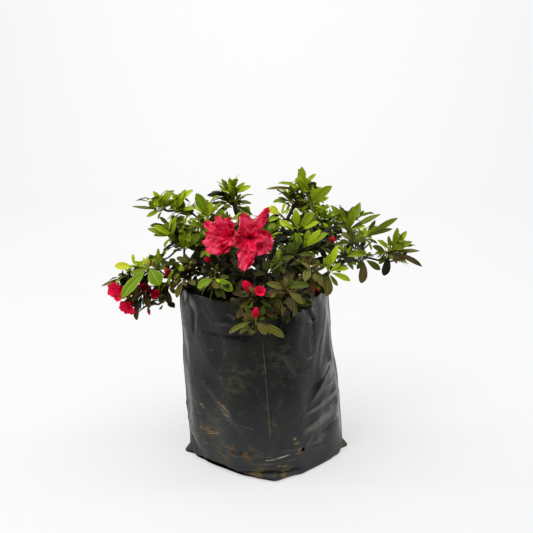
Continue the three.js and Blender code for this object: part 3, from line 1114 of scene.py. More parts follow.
@dataclass
class Limbs:
    """The short stem with its root flare, and the boughs that fork from it."""

    boughs: dict[str, Bough] = field(default_factory=lambda: {
        "left": Bough("stem", 0.62, "left_base", 14, 3.6),
        "right": Bough("stem", 0.7, "lower_right", 16, 3.6),
        "front": Bough("stem", 0.5, "front_low", 34, 3.2),
        "back": Bough("stem", 0.56, "back_middle", 14, 3.6),
        "crown_left": Bough("stem", 0.86, "top_left", 6, 3.2),
        "crown_right": Bough("stem", 0.9, "top_right", 6, 3.4),
        "upper_left": Bough("left", 0.36, "upper_left_inner", 8, 2.6),
        "upper_right": Bough("right", 0.34, "upper_right", 10, 2.8),
        "right_droop": Bough("right", 0.6, "right_droop", 8, 2.4),
        "bloom": Bough("front", 0.3, "blooms", 4, 2.6),
        "back_left": Bough("back", 0.3, "back_left", 10, 2.8),
        "back_right": Bough("back", 0.36, "back_right", 10, 2.8),
        "front_right": Bough("front", 0.42, "inner_right", 8, 2.4),
        "front_left": Bough("front", 0.36, "front_left", 12, 2.4),
        "centre_left": Bough("crown_left", 0.3, "centre_left", 8, 2.4),
    })
    steps: int = 26
    taper: float = 0.42
    stem_radius: float = 5.5
    stem_tip: float = 4.0
    stem_height: float = 36.0
    flare: float = 4.0
    flare_height: float = 7.0
    buttresses: int = 5
    bare: float = 30.0  # mm of stem over which the buttresses die away
    finish: AzaleaBark = AzaleaBark()

    def stem(self) -> ndarray:
        """Returns the stem's middle line, from the soil to its fork."""
        box = Box.of("main_stem")
        foot = np.array((box.middle[0] + 1.2, box.middle[1] - 1.5, box.middle[2] - box.half[2]))
        fork = foot + (-2.0, 3.0, 2 * box.half[2])
        return bezier((foot, foot * 0.5 + fork * 0.5 + (0.8, 0, 0), fork), self.steps)

    def path(self, name: str) -> ndarray:
        """Returns the middle line of a limb."""
        if name == "stem":
            return self.stem()
        bough = self.boughs[name]
        parent = self.path(bough.parent)
        start = parent[round(bough.along * self.steps)]
        end = Box.of(f"foliage_{bough.mass}").middle
        control = (start + end) / 2 + (0, 0, 2 * bough.arch)
        control[2] = (start[2] + end[2]) / 2 + 2 * bough.arch
        return bezier((start, control, end), self.steps)

    def bar(self, name: str) -> Bar:
        """Returns a limb as a bar with its true taper."""
        along = np.linspace(0, 1, self.steps + 1)
        if name == "stem":
            rise = along * self.stem_height
            flare = np.clip(1 - rise / self.flare_height, 0, 1) ** 2 * self.flare
            radii = self.stem_radius + (self.stem_tip - self.stem_radius) * along
            return Bar(self.path(name), radii + flare)
        return Bar(self.path(name), self.boughs[name].radius * (1 + (self.taper - 1) * along))

    def build(self) -> Object:
        """Builds every limb as one mesh with the relief of its bark."""
        names = ["stem", *self.boughs]
        mesh = bars_mesh("stem_and_boughs", [self.bar(name) for name in names], 16)
        places, rng = points_of(mesh), np.random.default_rng(3)
        normals = np.empty(len(mesh.vertices) * 3)
        mesh.vertices.foreach_get("normal", normals)
        drawn = places * (1, 1, 0.35)
        relief = 0.22 * ripples(drawn, 3.1, rng, 14) + 0.3 * ripples(places, 17, rng)
        foot = Box.of("main_stem").place((0, 0, -1))
        angle = np.arctan2(places[:, 1] - foot[1], places[:, 0] - foot[0])
        rise = places[:, 2] - foot[2]
        low = np.exp(-np.clip(rise, 0, None) / self.flare_height) * (rise < self.bare)
        relief += 1.3 * low * np.cos(self.buttresses * angle)
        places += normals.reshape(-1, 3) * relief[:, None]
        places[:, 2] = np.maximum(places[:, 2], foot[2])
        move_points(mesh, places)
        nodes = ["main_stem", *(f"bough_{name}" for name in self.boughs)]
        return piece("stem_and_boughs", mesh, [self.finish.material()], nodes)


# ---- leaves

class Tint(Enum):
    """Colour of a leaf's blade and of its rib, and its gloss, by its age and the light that it grew in; the
    near-black one is painted shade for the leaves deep inside the crown.
    """

    YOLK = ("#bcc020", "#ccce4a", 0.12)
    LIME = ("#a0b60a", "#bcc644", 0.12)
    GRASS = ("#668608", "#9aac3e", 0.1)
    SPRING = ("#88a00a", "#a9b53a", 0.12)
    FRESH = ("#72870c", "#949f30", 0.12)
    MID = ("#5d6d0f", "#7a842c", 0.1)
    DEEP = ("#424e10", "#5b6425", 0.1)
    # near-black: painted shade for the leaves deep inside the crown
    DARK = ("#171b0b", "#24280f", 0.08)
    OLIVE = ("#5f5e22", "#88824a", 0.1)
    BRONZE = ("#5a4a26", "#826d48", 0.1)
    RUSSET = ("#3c3317", "#584c2e", 0.08)


YOLK, LIME, GRASS, SPRING, FRESH, MID, DEEP, DARK, OLIVE, BRONZE, RUSSET = Tint


@dataclass(frozen=True)
class Leaf:
    """One leaf: where its stalk starts, the ways it points and faces, and its shape."""

    base: ndarray
    along: ndarray
    face: ndarray
    length: float
    slender: float  # width over length, before the outline narrows it
    droop: float  # degrees that it bends down from stalk to tip
    fold: float  # degrees that each half stands up from the rib
    curl: float  # how far the margins roll under, over the half width
    twist: float  # degrees at the tip
    wave: float  # height of the margin's waves, over the half width
    phase: float
    tint: Tint


@dataclass(frozen=True)
class LeafShape:
    """The outline that every azalea leaf shares: broadest past its middle, with a short point."""

    rows: tuple[float, ...] = (0, 0.13, 0.26, 0.4, 0.56, 0.71, 0.85, 0.94, 1)
    widths: tuple[float, ...] = (0.09, 0.1, 0.4, 0.7, 0.88, 0.88, 0.66, 0.34, 0.03)
    across: tuple[float, ...] = (-1, -0.87, -0.46, -0.055, 0.055, 0.46, 0.87, 1)
    pale: tuple[int, ...] = (0, 3, 6)  # the columns of faces that are the margins and the rib

    def mesh(self, name: str, leaves: Sequence[Leaf]) -> Mesh:
        """Builds many leaves as one mesh.

        Args:
            name: Name of the mesh.
            leaves: The leaves.

        Returns:
            The mesh, with blades in material slot 0 and ribs in slot 1.
        """
        def read(key: str) -> ndarray:
            """Lists one value of every leaf."""
            return np.array([getattr(leaf, key) for leaf in leaves], float)

        t, s = np.array(self.rows), np.array(self.across)
        base, along, face = (read(key)[:, None, None] for key in ("base", "along", "face"))
        side = np.cross(face, along)
        length = read("length")[:, None]
        bend = np.radians(read("droop"))[:, None]
        middle = bend * ((t[1:] + t[:-1]) / 2) ** 1.25
        start = np.zeros((len(leaves), 1))
        ahead = length * np.hstack([start, np.cumsum(np.cos(middle) * np.diff(t), axis=1)])
        below = length * np.hstack([start, np.cumsum(np.sin(middle) * np.diff(t), axis=1)])
        half = 0.5 * read("slender")[:, None] * length * np.array(self.widths)
        fold, curl, wave, phase, twist = (
            read(key)[:, None, None] for key in ("fold", "curl", "wave", "phase", "twist")
        )
        half = half[:, :, None]
        out = s * half * np.cos(np.radians(fold))
        waves = wave * np.sin(2 * math.pi * 1.7 * t[None, :, None] + phase + 1.9 * (s > 0)) * np.abs(s)
        rise = half * (np.abs(s) * np.sin(np.radians(fold)) - curl * s ** 2 + waves)
        turn = np.radians(twist) * t[None, :, None]
        out, rise = out * np.cos(turn) - rise * np.sin(turn), out * np.sin(turn) + rise * np.cos(turn)
        slope = (bend * t ** 1.25)[:, :, None, None]
        normal = np.sin(slope) * along + np.cos(slope) * face
        points = (
            base + ahead[:, :, None, None] * along - below[:, :, None, None] * face
            + out[..., None] * side + rise[..., None] * normal
        )
        pale = np.isin(np.arange(len(s) - 1), self.pale)
        ribs = np.tile(pale, len(leaves) * (len(t) - 1))
        return mesh_of(name, points.reshape(-1, 3), grid_faces(len(leaves), len(t), len(s)), ribs)


@dataclass(frozen=True)
class Habit:
    """How a shoot of one kind carries its leaves."""

    leaves: tuple[int, int]
    polar: tuple[float, float]  # degrees from the shoot's axis, of its inner and outer leaves
    length: tuple[float, float]
    slender: tuple[float, float]
    droop: tuple[float, float]
    tints: dict[Tint, float]
    stalk: float = 0.0  # mm of green young stem under the leaves


class Growth(Enum):
    """The kinds of shoot, by age and light."""

    FLUSH = Habit((10, 13), (15, 66), (10, 18), (0.3, 0.4), (5, 35), {
        YOLK: 0.06, LIME: 0.34, GRASS: 0.14, SPRING: 0.3, FRESH: 0.16}, 7)
    YOUNG = Habit((12, 15), (24, 92), (11, 21), (0.29, 0.4), (10, 50), {
        LIME: 0.22, GRASS: 0.12, SPRING: 0.28, FRESH: 0.24, MID: 0.14}, 4)
    MATURE = Habit((11, 14), (40, 105), (12, 22), (0.32, 0.42), (15, 60), {
        SPRING: 0.12, FRESH: 0.22, MID: 0.3, DEEP: 0.22, OLIVE: 0.14})
    OLD = Habit((10, 12), (55, 125), (13, 23), (0.32, 0.42), (20, 70), {
        OLIVE: 0.42, BRONZE: 0.2, DEEP: 0.2, RUSSET: 0.18})
    # shoots deep inside the crown, mostly near-black leaves that paint its shade
    SHADE = Habit((9, 12), (45, 115), (14, 24), (0.32, 0.44), (15, 55), {
        DARK: 0.55, DEEP: 0.25, RUSSET: 0.2})


FLUSH, YOUNG, MATURE, OLD, SHADE = Growth


class Ray(NamedTuple):
    """One leaf of a fan whose leaves are listed one by one."""

    bearing: float  # degrees anticlockwise from +X, as the front shows it
    reach: float  # mm, as the front shows it
    tint: Tint | None = None
    slender: float = 0.0
    lean: float | None = None  # towards the back, as a share of its length


@dataclass(frozen=True)
class Shoot:
    """A shoot: its place in a mass's box, the way it leans, its kind, and leaves listed one by one."""

    mass: str
    at: tuple[float, float, float]
    lean: tuple[float, float, float]
    growth: Growth
    fan: tuple[tuple, ...] = ()  # the values of each Ray
    tints: tuple[Tint, ...] = ()  # of the fan's leaves, in turn
    slender: float = 0.0  # of the fan's leaves
    inner: int | None = None  # leaves drawn inside the fan, if not by the kind


FRONT_SHOOTS = (
    # the left tip, which hangs clear of the bag
    Shoot("left_tip", (0.58, -0.22, 0.63), (-0.3, -0.4, 0.9), FLUSH,
        ((-55, 21, GRASS, 0.8, -0.35), (-132, 38, GRASS, 0.34, -0.45), (165, 17), (-165, 18)),
        (SPRING, FRESH), inner=5),
    Shoot("left_tip", (0.14, -0.07, 0.6), (-0.8, -0.2, 0.5), FLUSH,
        ((178, 20, YOLK, 0.5, -0.1), (100, 12, LIME, 0.4), (-60, 12, YOLK, 0.4), (-95, 13, SPRING, 0.3)),
        (LIME,)),
    Shoot("left_tip", (-0.04, 0.33, 0.2), (-0.8, -0.2, 0.3), OLD,
        ((197, 33, OLIVE, 0.13, -0.1), (175, 13)), (OLIVE,)),
    Shoot("left_tip", (0.28, 0.07, -0.41), (-0.7, -0.3, -0.3), OLD,
        ((-152, 22, BRONZE, 0.36), (-120, 13), (-100, 27, RUSSET, 0.3), (-25, 10), (130, 22, MID, 0.4)),
        (RUSSET, DARK)),
    Shoot("left_droop", (0.39, 0.2, 0.74), (-0.2, -0.5, 0.1), OLD,
        ((-165, 17), (-142, 18), (-112, 19), (-82, 18), (-30, 11), (150, 12)),
        (RUSSET, DARK, OLIVE, RUSSET, DEEP), 0.52),
    Shoot("left_tuft", (0.02, -0.33, -0.41), (0.0, -0.1, 1.0), YOUNG,
        ((88, 18), (60, 20), (75, 14), (5, 20), (-25, 17), (125, 15)), (LIME, SPRING, FRESH, OLIVE), 0.26),
    Shoot("left_tuft", (1.03, -0.11, -1.41), (0.2, -0.2, 0.6), OLD,
        ((-130, 15), (-40, 12), (135, 11), (60, 14)), (BRONZE, RUSSET), 0.5),
    # the upper left
    Shoot("upper_left", (0.4, 0.0, -0.13), (-0.2, -0.1, 1.0), YOUNG,
        ((120, 21), (70, 20), (55, 22), (-155, 18), (172, 32, OLIVE, 0.14), (140, 15), (-115, 12), (25, 14),
        (95, 16)), (SPRING, LIME, FRESH, SPRING), 0.36),
    Shoot("upper_left_inner", (-0.4, -0.17, 0.0), (0.2, -0.1, 1.0), YOUNG,
        ((105, 20), (65, 25), (50, 30), (80, 20), (10, 21), (-20, 17), (125, 12)),
        (LIME, SPRING, LIME, FRESH), 0.34),
    Shoot("mid_left", (0.44, 0.08, -0.66), (0.1, -0.2, 1.0), MATURE,
        ((95, 26), (130, 25), (70, 20), (45, 28), (-75, 13), (180, 11)), (FRESH, MID, SPRING, MID), 0.38),
    Shoot("mid_left", (-0.05, 0.0, 0.1), (-0.5, -0.2, 0.8), YOUNG,
        ((160, 26), (145, 22), (175, 17), (70, 16), (-125, 13)), (FRESH, SPRING, MID), 0.36),
    Shoot("mid_left", (-0.17, 1.0, 0.45), (-0.4, 0.1, 0.8), MATURE,
        ((175, 20), (135, 16), (35, 16), (-75, 13)), (DEEP, MID)),
    Shoot("left_base", (0.24, 0.07, -0.05), (0.0, -0.3, 0.8), OLD,
        ((150, 20), (115, 13), (75, 21), (35, 11), (-160, 16), (-20, 15)), (OLIVE, RUSSET, DARK)),
    Shoot("left_base", (-0.13, -0.15, -0.58), (-0.3, -0.4, 0.2), OLD,
        ((-140, 20), (-110, 20), (-65, 14), (170, 11), (-20, 15)), (BRONZE, OLIVE, RUSSET)),
    Shoot("centre_left", (0.27, -0.4, -0.13), (-0.2, -0.1, 1.0), FLUSH,
        ((115, 28, GRASS, 0.46, -0.1), (80, 18, LIME), (155, 8), (50, 16, FRESH)), (SPRING, FRESH), 0.38),
    Shoot("centre_left", (0.08, 0.1, -0.76), (-0.2, -0.2, 0.9), MATURE,
        ((160, 17), (120, 17), (55, 17), (-120, 12)), (FRESH, MID, DEEP)),
    # the narrow-leaved tuft at the top left
    Shoot("top_left", (-0.06, 0.0, 0.15), (0.0, -0.1, 1.0), YOUNG,
        ((180, 23, DARK), (165, 20, DEEP), (135, 16), (117, 18), (95, 14), (62, 17), (40, 22), (22, 24),
        (75, 12)), (FRESH, LIME, SPRING), 0.3),
    Shoot("top_left", (0.04, -0.15, -0.2), (0.1, -0.3, 0.5), MATURE,
        ((-30, 25, DEEP, 0.22), (-5, 21), (-150, 18), (-70, 17), (-130, 14), (-175, 20), (-50, 18)),
        (DEEP, OLIVE, MID, DARK), 0.28),
    Shoot("top_left", (-0.15, -0.69, -0.99), (0.0, -0.2, 1.0), YOUNG,
        ((120, 15), (70, 9), (15, 24), (165, 15)), (FRESH, MID)),
    # the top right
    Shoot("top_right", (0.03, -0.13, 0.24), (-0.2, -0.1, 1.0), YOUNG,
        ((92, 24, SPRING, 0.42), (178, 38, OLIVE, 0.12), (168, 26, FRESH, 0.24), (45, 20), (-155, 19),
        (58, 14), (120, 14, LIME)), (FRESH, SPRING), 0.32),
    Shoot("top_right", (0.27, -0.33, -0.26), (0.4, -0.2, 0.9), YOUNG,
        ((60, 22), (42, 30), (20, 20), (165, 15), (-15, 13), (-140, 13), (85, 18)),
        (SPRING, FRESH, LIME, MID), 0.34),
    Shoot("top_right", (-0.32, 0.0, -0.19), (-0.6, -0.1, 0.7), MATURE,
        ((165, 13), (-170, 17), (125, 14), (65, 15), (-110, 11)), (MID, FRESH, OLIVE), 0.32),
    Shoot("top_right", (0.08, -0.2, 0.11), (0.0, -0.2, 1.0), FLUSH,
        ((110, 20), (80, 15), (15, 10), (155, 13)), (LIME, SPRING)),
    Shoot("top_right", (-0.58, -0.67, -0.6), (-0.5, -0.3, 0.8), FLUSH,
        ((70, 11), (140, 14, YOLK, 0.5), (160, 19, YOLK, 0.4), (-110, 16), (25, 10), (-160, 13)),
        (LIME, SPRING)),
    # the centre right
    Shoot("centre_right", (-0.18, 0.23, 0.43), (0.2, -0.4, 0.9), YOUNG,
        ((95, 22), (50, 26), (25, 24), (150, 20), (-130, 12), (-25, 13)), (SPRING, FRESH, SPRING, LIME),
        0.4),
    Shoot("centre_right", (0.02, -0.46, -0.26), (0.2, -0.5, 0.9), FLUSH,
        ((120, 20), (50, 25), (35, 28), (175, 17), (-35, 13), (-100, 14), (75, 20)),
        (GRASS, SPRING, FRESH, MID), 0.33),
    Shoot("centre_right", (-0.67, -0.62, -0.99), (-0.2, -0.6, 0.5), MATURE,
        ((95, 14), (40, 15), (-20, 15), (-75, 16), (-125, 13), (150, 12)), (MID, OLIVE, DEEP, DARK, OLIVE),
        0.34),
    Shoot("inner_right", (-1.3, -0.11, -0.55), (0.1, -0.6, 0.4), OLD,
        ((75, 15), (15, 15), (-40, 15), (-100, 14), (140, 13), (180, 12)), (DEEP, OLIVE, DARK, BRONZE),
        0.34),
    # behind the blooms
    Shoot("blooms", (-0.7, 1.3, -0.3), (-0.2, 0.1, 1.0), MATURE),
    Shoot("blooms", (0.0, 1.4, -0.6), (0.0, -0.1, 1.0), SHADE),
    Shoot("blooms", (0.75, 1.3, -0.1), (0.2, -0.1, 1.0), MATURE),
    Shoot("blooms", (-0.1, 2.0, 0.25), (-0.1, 0.2, 1.0), YOUNG),
    Shoot("blooms", (0.7, 2.1, -0.5), (0.2, 0.1, 1.0), MATURE),
    Shoot("blooms", (-0.75, 2.1, -0.5), (-0.2, 0.1, 1.0), MATURE),
    # the right arm
    Shoot("upper_right", (-0.18, -0.15, -0.27), (0.3, -0.1, 0.9), YOUNG,
        ((125, 30), (110, 23), (80, 28), (65, 32), (27, 39, MID, 0.19), (165, 12), (15, 19),
        (20, 27, DEEP, 0.2)), (FRESH, MID, SPRING, FRESH), 0.3),
    Shoot("right_crest", (-0.98, 0.12, -0.84), (0.6, -0.1, 0.7), YOUNG,
        ((34, 39, MID, 0.19), (22, 30, DEEP, 0.18), (-25, 14), (-65, 15), (130, 12), (60, 20), (45, 16)),
        (FRESH, MID, DEEP), 0.28),
    Shoot("upper_right", (-0.04, -0.89, -0.71), (0.1, -0.4, 0.3), SHADE,
        ((145, 15), (-25, 9), (-105, 13), (-145, 11), (55, 10)), (OLIVE, DARK)),
    Shoot("right_tip", (-0.25, 0.04, 0.15), (0.9, -0.1, 0.45), YOUNG,
        ((75, 24), (52, 27), (30, 24), (2, 31, OLIVE, 0.2), (-24, 35, RUSSET, 0.2), (140, 20), (-180, 16),
        (98, 16)), (FRESH, SPRING, FRESH, MID), 0.3),
    Shoot("right_tip", (-0.39, -0.12, 0.07), (0.5, -0.2, -0.3), OLD,
        ((-100, 24, DARK, 0.5), (155, 18), (-50, 16), (-20, 18), (-135, 15)), (RUSSET, DEEP, OLIVE), 0.34),
    Shoot("right_droop", (0.0, 0.0, 0.26), (0.3, -0.2, -0.6), OLD,
        ((-93, 28, BRONZE, 0.42), (-35, 21), (45, 10), (-120, 14)), (OLIVE, DEEP)),
    Shoot("lower_right", (-0.5, -0.56, 0.13), (0.1, -0.5, 0.8), YOUNG,
        ((88, 19), (70, 27, LIME, 0.3), (-130, 13), (5, 20), (-22, 23), (-92, 26, OLIVE, 0.48), (-55, 16),
        (110, 16), (35, 15)), (SPRING, FRESH, MID, SPRING), 0.32),
    Shoot("lower_right", (0.23, 0.72, 0.47), (0.5, -0.2, 0.5), MATURE,
        ((8, 24), (-30, 15), (-50, 16), (125, 15), (-110, 11)), (FRESH, MID, OLIVE)),
    # inside, to the right of the blooms
    Shoot("inner_right", (-0.56, 0.44, 0.17), (-0.1, -0.6, 0.2), OLD,
        ((160, 16), (-135, 19), (-75, 32), (-95, 30), (20, 16), (120, 15)), (OLIVE, BRONZE, OLIVE), 0.36),
    Shoot("inner_right", (0.29, -0.22, 0.1), (0.2, -0.6, 0.1), OLD,
        ((-55, 17), (-100, 22), (60, 12), (-125, 15)), (OLIVE, RUSSET, BRONZE), 0.36),
    # the low front, which hangs over the rim
    Shoot("front_low", (0.07, -0.38, -0.34), (-0.1, -0.7, 0.6), OLD,
        ((-152, 29, OLIVE, 0.22), (-100, 12, OLIVE, 0.42), (-52, 17, OLIVE, 0.5), (-33, 33, OLIVE, 0.27),
        (150, 14, BRONZE, 0.42), (122, 18, OLIVE, 0.34), (45, 20, DEEP, 0.42), (178, 12, OLIVE, 0.4)),
        (OLIVE, BRONZE), 0.36),
    Shoot("front_low", (0.13, 0.0, 0.31), (0.0, -0.5, 0.8), OLD,
        ((175, 18), (-150, 17), (-25, 13), (125, 15), (-100, 12)), (BRONZE, OLIVE)),
    Shoot("front_right", (-0.26, 0.13, 0.46), (0.2, -0.5, 0.7), OLD,
        ((160, 20), (-165, 20), (10, 24), (-40, 22), (-95, 34, DEEP, 0.46), (60, 13),
        (-120, 26, OLIVE, 0.4)), (OLIVE, BRONZE, DEEP)),
    Shoot("front_left", (0.03, -0.38, 0.39), (0.0, -0.7, 0.4), FLUSH,
        ((-150, 19, GRASS, 0.5, -0.25), (-36, 21, GRASS, 0.5, -0.25)), inner=1),
    Shoot("front_left", (0.11, 0.25, 0.78), (0.0, -0.5, 0.1), SHADE,
        ((145, 14), (25, 13), (-155, 15), (-25, 15), (-85, 17)), (DARK, RUSSET)),
    Shoot("front_low", (0.5, 0.9, 0.95), (0.1, -0.6, 0.5), SHADE,
        ((40, 16), (-20, 16), (110, 13), (-70, 15), (-150, 14), (170, 15)), (DARK, DARK, DEEP)),
    Shoot("front_low", (-0.35, 0.9, 0.9), (-0.2, -0.6, 0.3), SHADE,
        ((150, 15), (-160, 15), (-110, 16), (-60, 15), (20, 14), (80, 12)), (DARK, DARK, RUSSET)),
    Shoot("inner_right", (-0.7, 0.3, 0.75), (0.0, -0.6, 0.4), SHADE,
        ((60, 14), (0, 15), (-60, 15), (-120, 16), (140, 14), (180, 14)), (DARK, DEEP, DARK)),
    Shoot("front_left", (0.6, 0.6, 0.6), (0.0, -0.6, 0.4), SHADE,
        ((60, 13), (0, 15), (-60, 14), (-120, 15), (140, 14)), (DARK, DARK, DEEP)),
    Shoot("centre_right", (0.53, 0.62, -0.41), (0.3, -0.4, 0.3), SHADE,
        ((30, 14), (-40, 11), (145, 13), (-5, 17)), (OLIVE, DARK)),
)


@dataclass(frozen=True)
class Gap:
    """An opening in the crown that the front view looks through: an ellipse in the plane Y = 0 (mm)."""

    x: float
    z: float
    half_x: float
    half_z: float


SKY_GAPS = tuple(Gap(*sizes) for sizes in (
    # between the upper left spray and the left tip
    (-130, 231, 27, 16), (-134, 250, 17, 9), (-137, 264, 19, 7), (-132, 281, 18, 8), (-118, 292, 40, 7),
    # between the sprays of the upper left
    (-82, 273, 4, 7), (-69, 283, 8, 11), (-75, 256, 6, 5), (-37, 257, 5, 7), (-92, 217, 16, 5),
    # round the narrow tuft at the top left
    (-72, 297, 12, 8), (-16, 290, 16, 10), (-7, 271, 9, 10), (4, 270, 8, 8), (3, 297, 12, 10),
    # above the top right
    (21, 302, 9, 8), (47, 304, 10, 9), (66, 294, 14, 8), (80, 276, 14, 7), (86, 286, 30, 9),
    # above and below the right arm
    (122, 270, 24, 8), (130, 248, 12, 8), (118, 240, 9, 7), (-13, 262, 5, 6), (150, 254, 16, 10),
    (152, 238, 12, 6), (111, 223, 10, 6), (108, 207, 10, 6), (90, 188, 17, 14), (80, 172, 14, 22),
    (135, 199, 7, 8), (153, 214, 9, 7),
    (120, 190, 20, 12), (94, 247, 5, 5), (101, 252, 4, 5),
    # below and beside the left tip
    (-112, 142, 42, 14), (-165, 199, 14, 9), (-160, 157, 11, 10), (-93, 170, 9, 12), (-150, 216, 18, 10),
    # under the right-hand bloom
    (-12, 209, 6, 5),
))


@dataclass(frozen=True)
class Joint:
    """A place on a limb or twig that a new twig may spring from."""

    at: ndarray
    along: ndarray
    reach: float  # mm of wood between it and the stem's fork


@dataclass
class Crown:
    """The leafy crown: shoots placed in the masses, joined back to the boughs by twigs."""

    limbs: Limbs
    bag: NurseryBag
    seed: int = 23
    spacing: float = 15.0  # mm between the seeded shoots of a mass
    depth: float = 0.58  # how far out in its mass a shoot's node lies
    twig_tip: float = 0.75  # mm of radius
    shape: LeafShape = LeafShape()
    leaves: list[Leaf] = field(default_factory=list)
    twigs: list[Bar] = field(default_factory=list)
    green: list[Bar] = field(default_factory=list)
    joints: list[Joint] = field(default_factory=list)

    def __post_init__(self) -> None:
        """Draws the random numbers from one seeded source and lists the masses."""
        self.rng = np.random.default_rng(self.seed)
        self.masses = [name for name in frame["nodes"] if name.startswith("foliage_")]
        self.masses.sort()


    def seeded(self, mass: str) -> list[tuple[ndarray, ndarray, Growth]]:
        """Spreads shoots over one mass.

        Args:
            mass: The CAD node.

        Returns:
            The place, axis and kind of each shoot.
        """
        box = Box.of(mass)
        power = 1.6
        a, b, c = (box.half * self.depth) ** power
        area = 4 * math.pi * ((a * b + a * c + b * c) / 3) ** (1 / power)
        count = max(4, round(area / self.spacing ** 2))
        set_by_hand = [shoot for shoot in FRONT_SHOOTS if f"foliage_{shoot.mass}" == mass]
        turn = self.rng.uniform(0, 2 * math.pi)
        heart = Box.of("foliage_heart").middle - (0, 0, 45)
        found = []
        for i in range(count):
            z = 1 - (2 * i + 1) / count
            angle = turn + i * GOLDEN_ANGLE
            flat = math.sqrt(1 - z * z)
            way = np.array((math.cos(angle) * flat, math.sin(angle) * flat, z))
            way += self.rng.normal(0, 0.12, 3)
            if set_by_hand and way[1] < 0.1:
                continue
            reach = self.depth * (0.7 if set_by_hand else 1.0)
            at = box.place(way * reach)
            axis = unit(0.9 * unit(at - heart) + 0.5 * way + 0.55 * UP)
            found.append((at, axis, self.kind_at(at, way, bool(set_by_hand))))
        return found

    def kind_at(self, at: ndarray, way: ndarray, behind: bool) -> Growth:
        """Chooses the kind of a seeded shoot by its height and side."""
        draw = self.rng.uniform()
        if at[1] < -45:  # over the bag's front
            return OLD if draw < 0.6 else SHADE
        # deep inside, shoots of near-black leaves paint the crown's shade
        if abs(at[0]) < 85 and at[1] < 40 and at[2] < 252:  # deep inside
            return SHADE
        if behind and at[2] > 235:
            return MATURE if draw < 0.6 else YOUNG
        if behind:
            return SHADE if draw < 0.45 else MATURE
        if way[2] < -0.35:
            return OLD if draw < 0.65 else SHADE
        if way[2] > 0.35:
            return YOUNG if draw < 0.6 else (FLUSH if draw < 0.8 else MATURE)
        return MATURE if draw < 0.6 else (YOUNG if draw < 0.85 else OLD)


    def draw_tint(self, habit: Habit) -> Tint:
        """Draws a tint by the habit's shares."""
        tints = list(habit.tints)
        return tints[self.rng.choice(len(tints), p=np.array(list(habit.tints.values())))]

    def add_leaf(
        self,
        base: ndarray,
        chord: ndarray,
        length: float,
        habit: Habit,
        tint: Tint,
        sunward: ndarray,
        slender: float = 0.0,
        by_hand: bool = False,
    ) -> bool:
        """Adds one leaf whose tip lies along a chord.

        Args:
            base: Where its stalk leaves the shoot.
            chord: The way from its stalk to its tip.
            length: Its length.
            habit: The shoot's habit.
            tint: Its colour.
            sunward: The way that its upper face turns.
            slender: Width over length, or 0 to draw it by the habit.
            by_hand: Whether the leaf was listed one by one, and so keeps out of the gaps already.

        Returns:
            False if the bag's wall is in its way, so that no leaf grew.
        """
        chord = unit(chord)
        tip = base + chord * length
        if self.meets_wall(base, tip) or (not by_hand and self.in_gap((base, (base + tip) / 2, tip))):
            return False
        face = square_to(chord, sunward + self.rng.normal(0, 0.1 if by_hand else 0.22, 3))
        droop = self.rng.uniform(*habit.droop)
        half = math.radians(droop) / 2
        self.leaves.append(Leaf(
            base=base,
            along=math.cos(half) * chord + math.sin(half) * face,
            face=math.cos(half) * face - math.sin(half) * chord,
            length=length,
            slender=slender or self.rng.uniform(*habit.slender),
            droop=droop,
            fold=self.rng.uniform(8, 30),
            curl=self.rng.uniform(0.0, 0.28),
            twist=self.rng.normal(0, 8 if by_hand else 14),
            wave=self.rng.uniform(0.0, 0.16),
            phase=self.rng.uniform(0, 2 * math.pi),
            tint=tint,
        ))
        return True

    def in_gap(self, places: Iterable[ndarray]) -> bool:
        """Says whether any of some places stands in an opening that the front view looks through."""
        for place in places:
            x, _, z = EYE - (place - EYE) * EYE[1] / (place[1] - EYE[1])
            for gap in SKY_GAPS:
                if ((x - gap.x) / gap.half_x) ** 2 + ((z - gap.z) / gap.half_z) ** 2 < 1:
                    return True
        return False

    def meets_wall(self, base: ndarray, tip: ndarray) -> bool:
        """Says whether a leaf would pass through the film or the soil.

        Args:
            base: Where its stalk starts.
            tip: Where it ends.

        Returns:
            True if it would.
        """
        sides = set()
        for share in (0, 0.35, 0.7, 1.05):
            x, y, z = base + share * (tip - base)
            if z > self.bag.rim + 3:
                continue
            away = math.hypot(x - self.bag.middle(z), y)
            wall = float(self.bag.wall(np.array(math.atan2(y, x - self.bag.middle(z))), np.array(z)))
            in_soil = z < self.bag.soil_line and away < wall + 2
            if in_soil or abs(away - wall) < 1.5:
                return True
            sides.add(away > wall)
        return len(sides) > 1

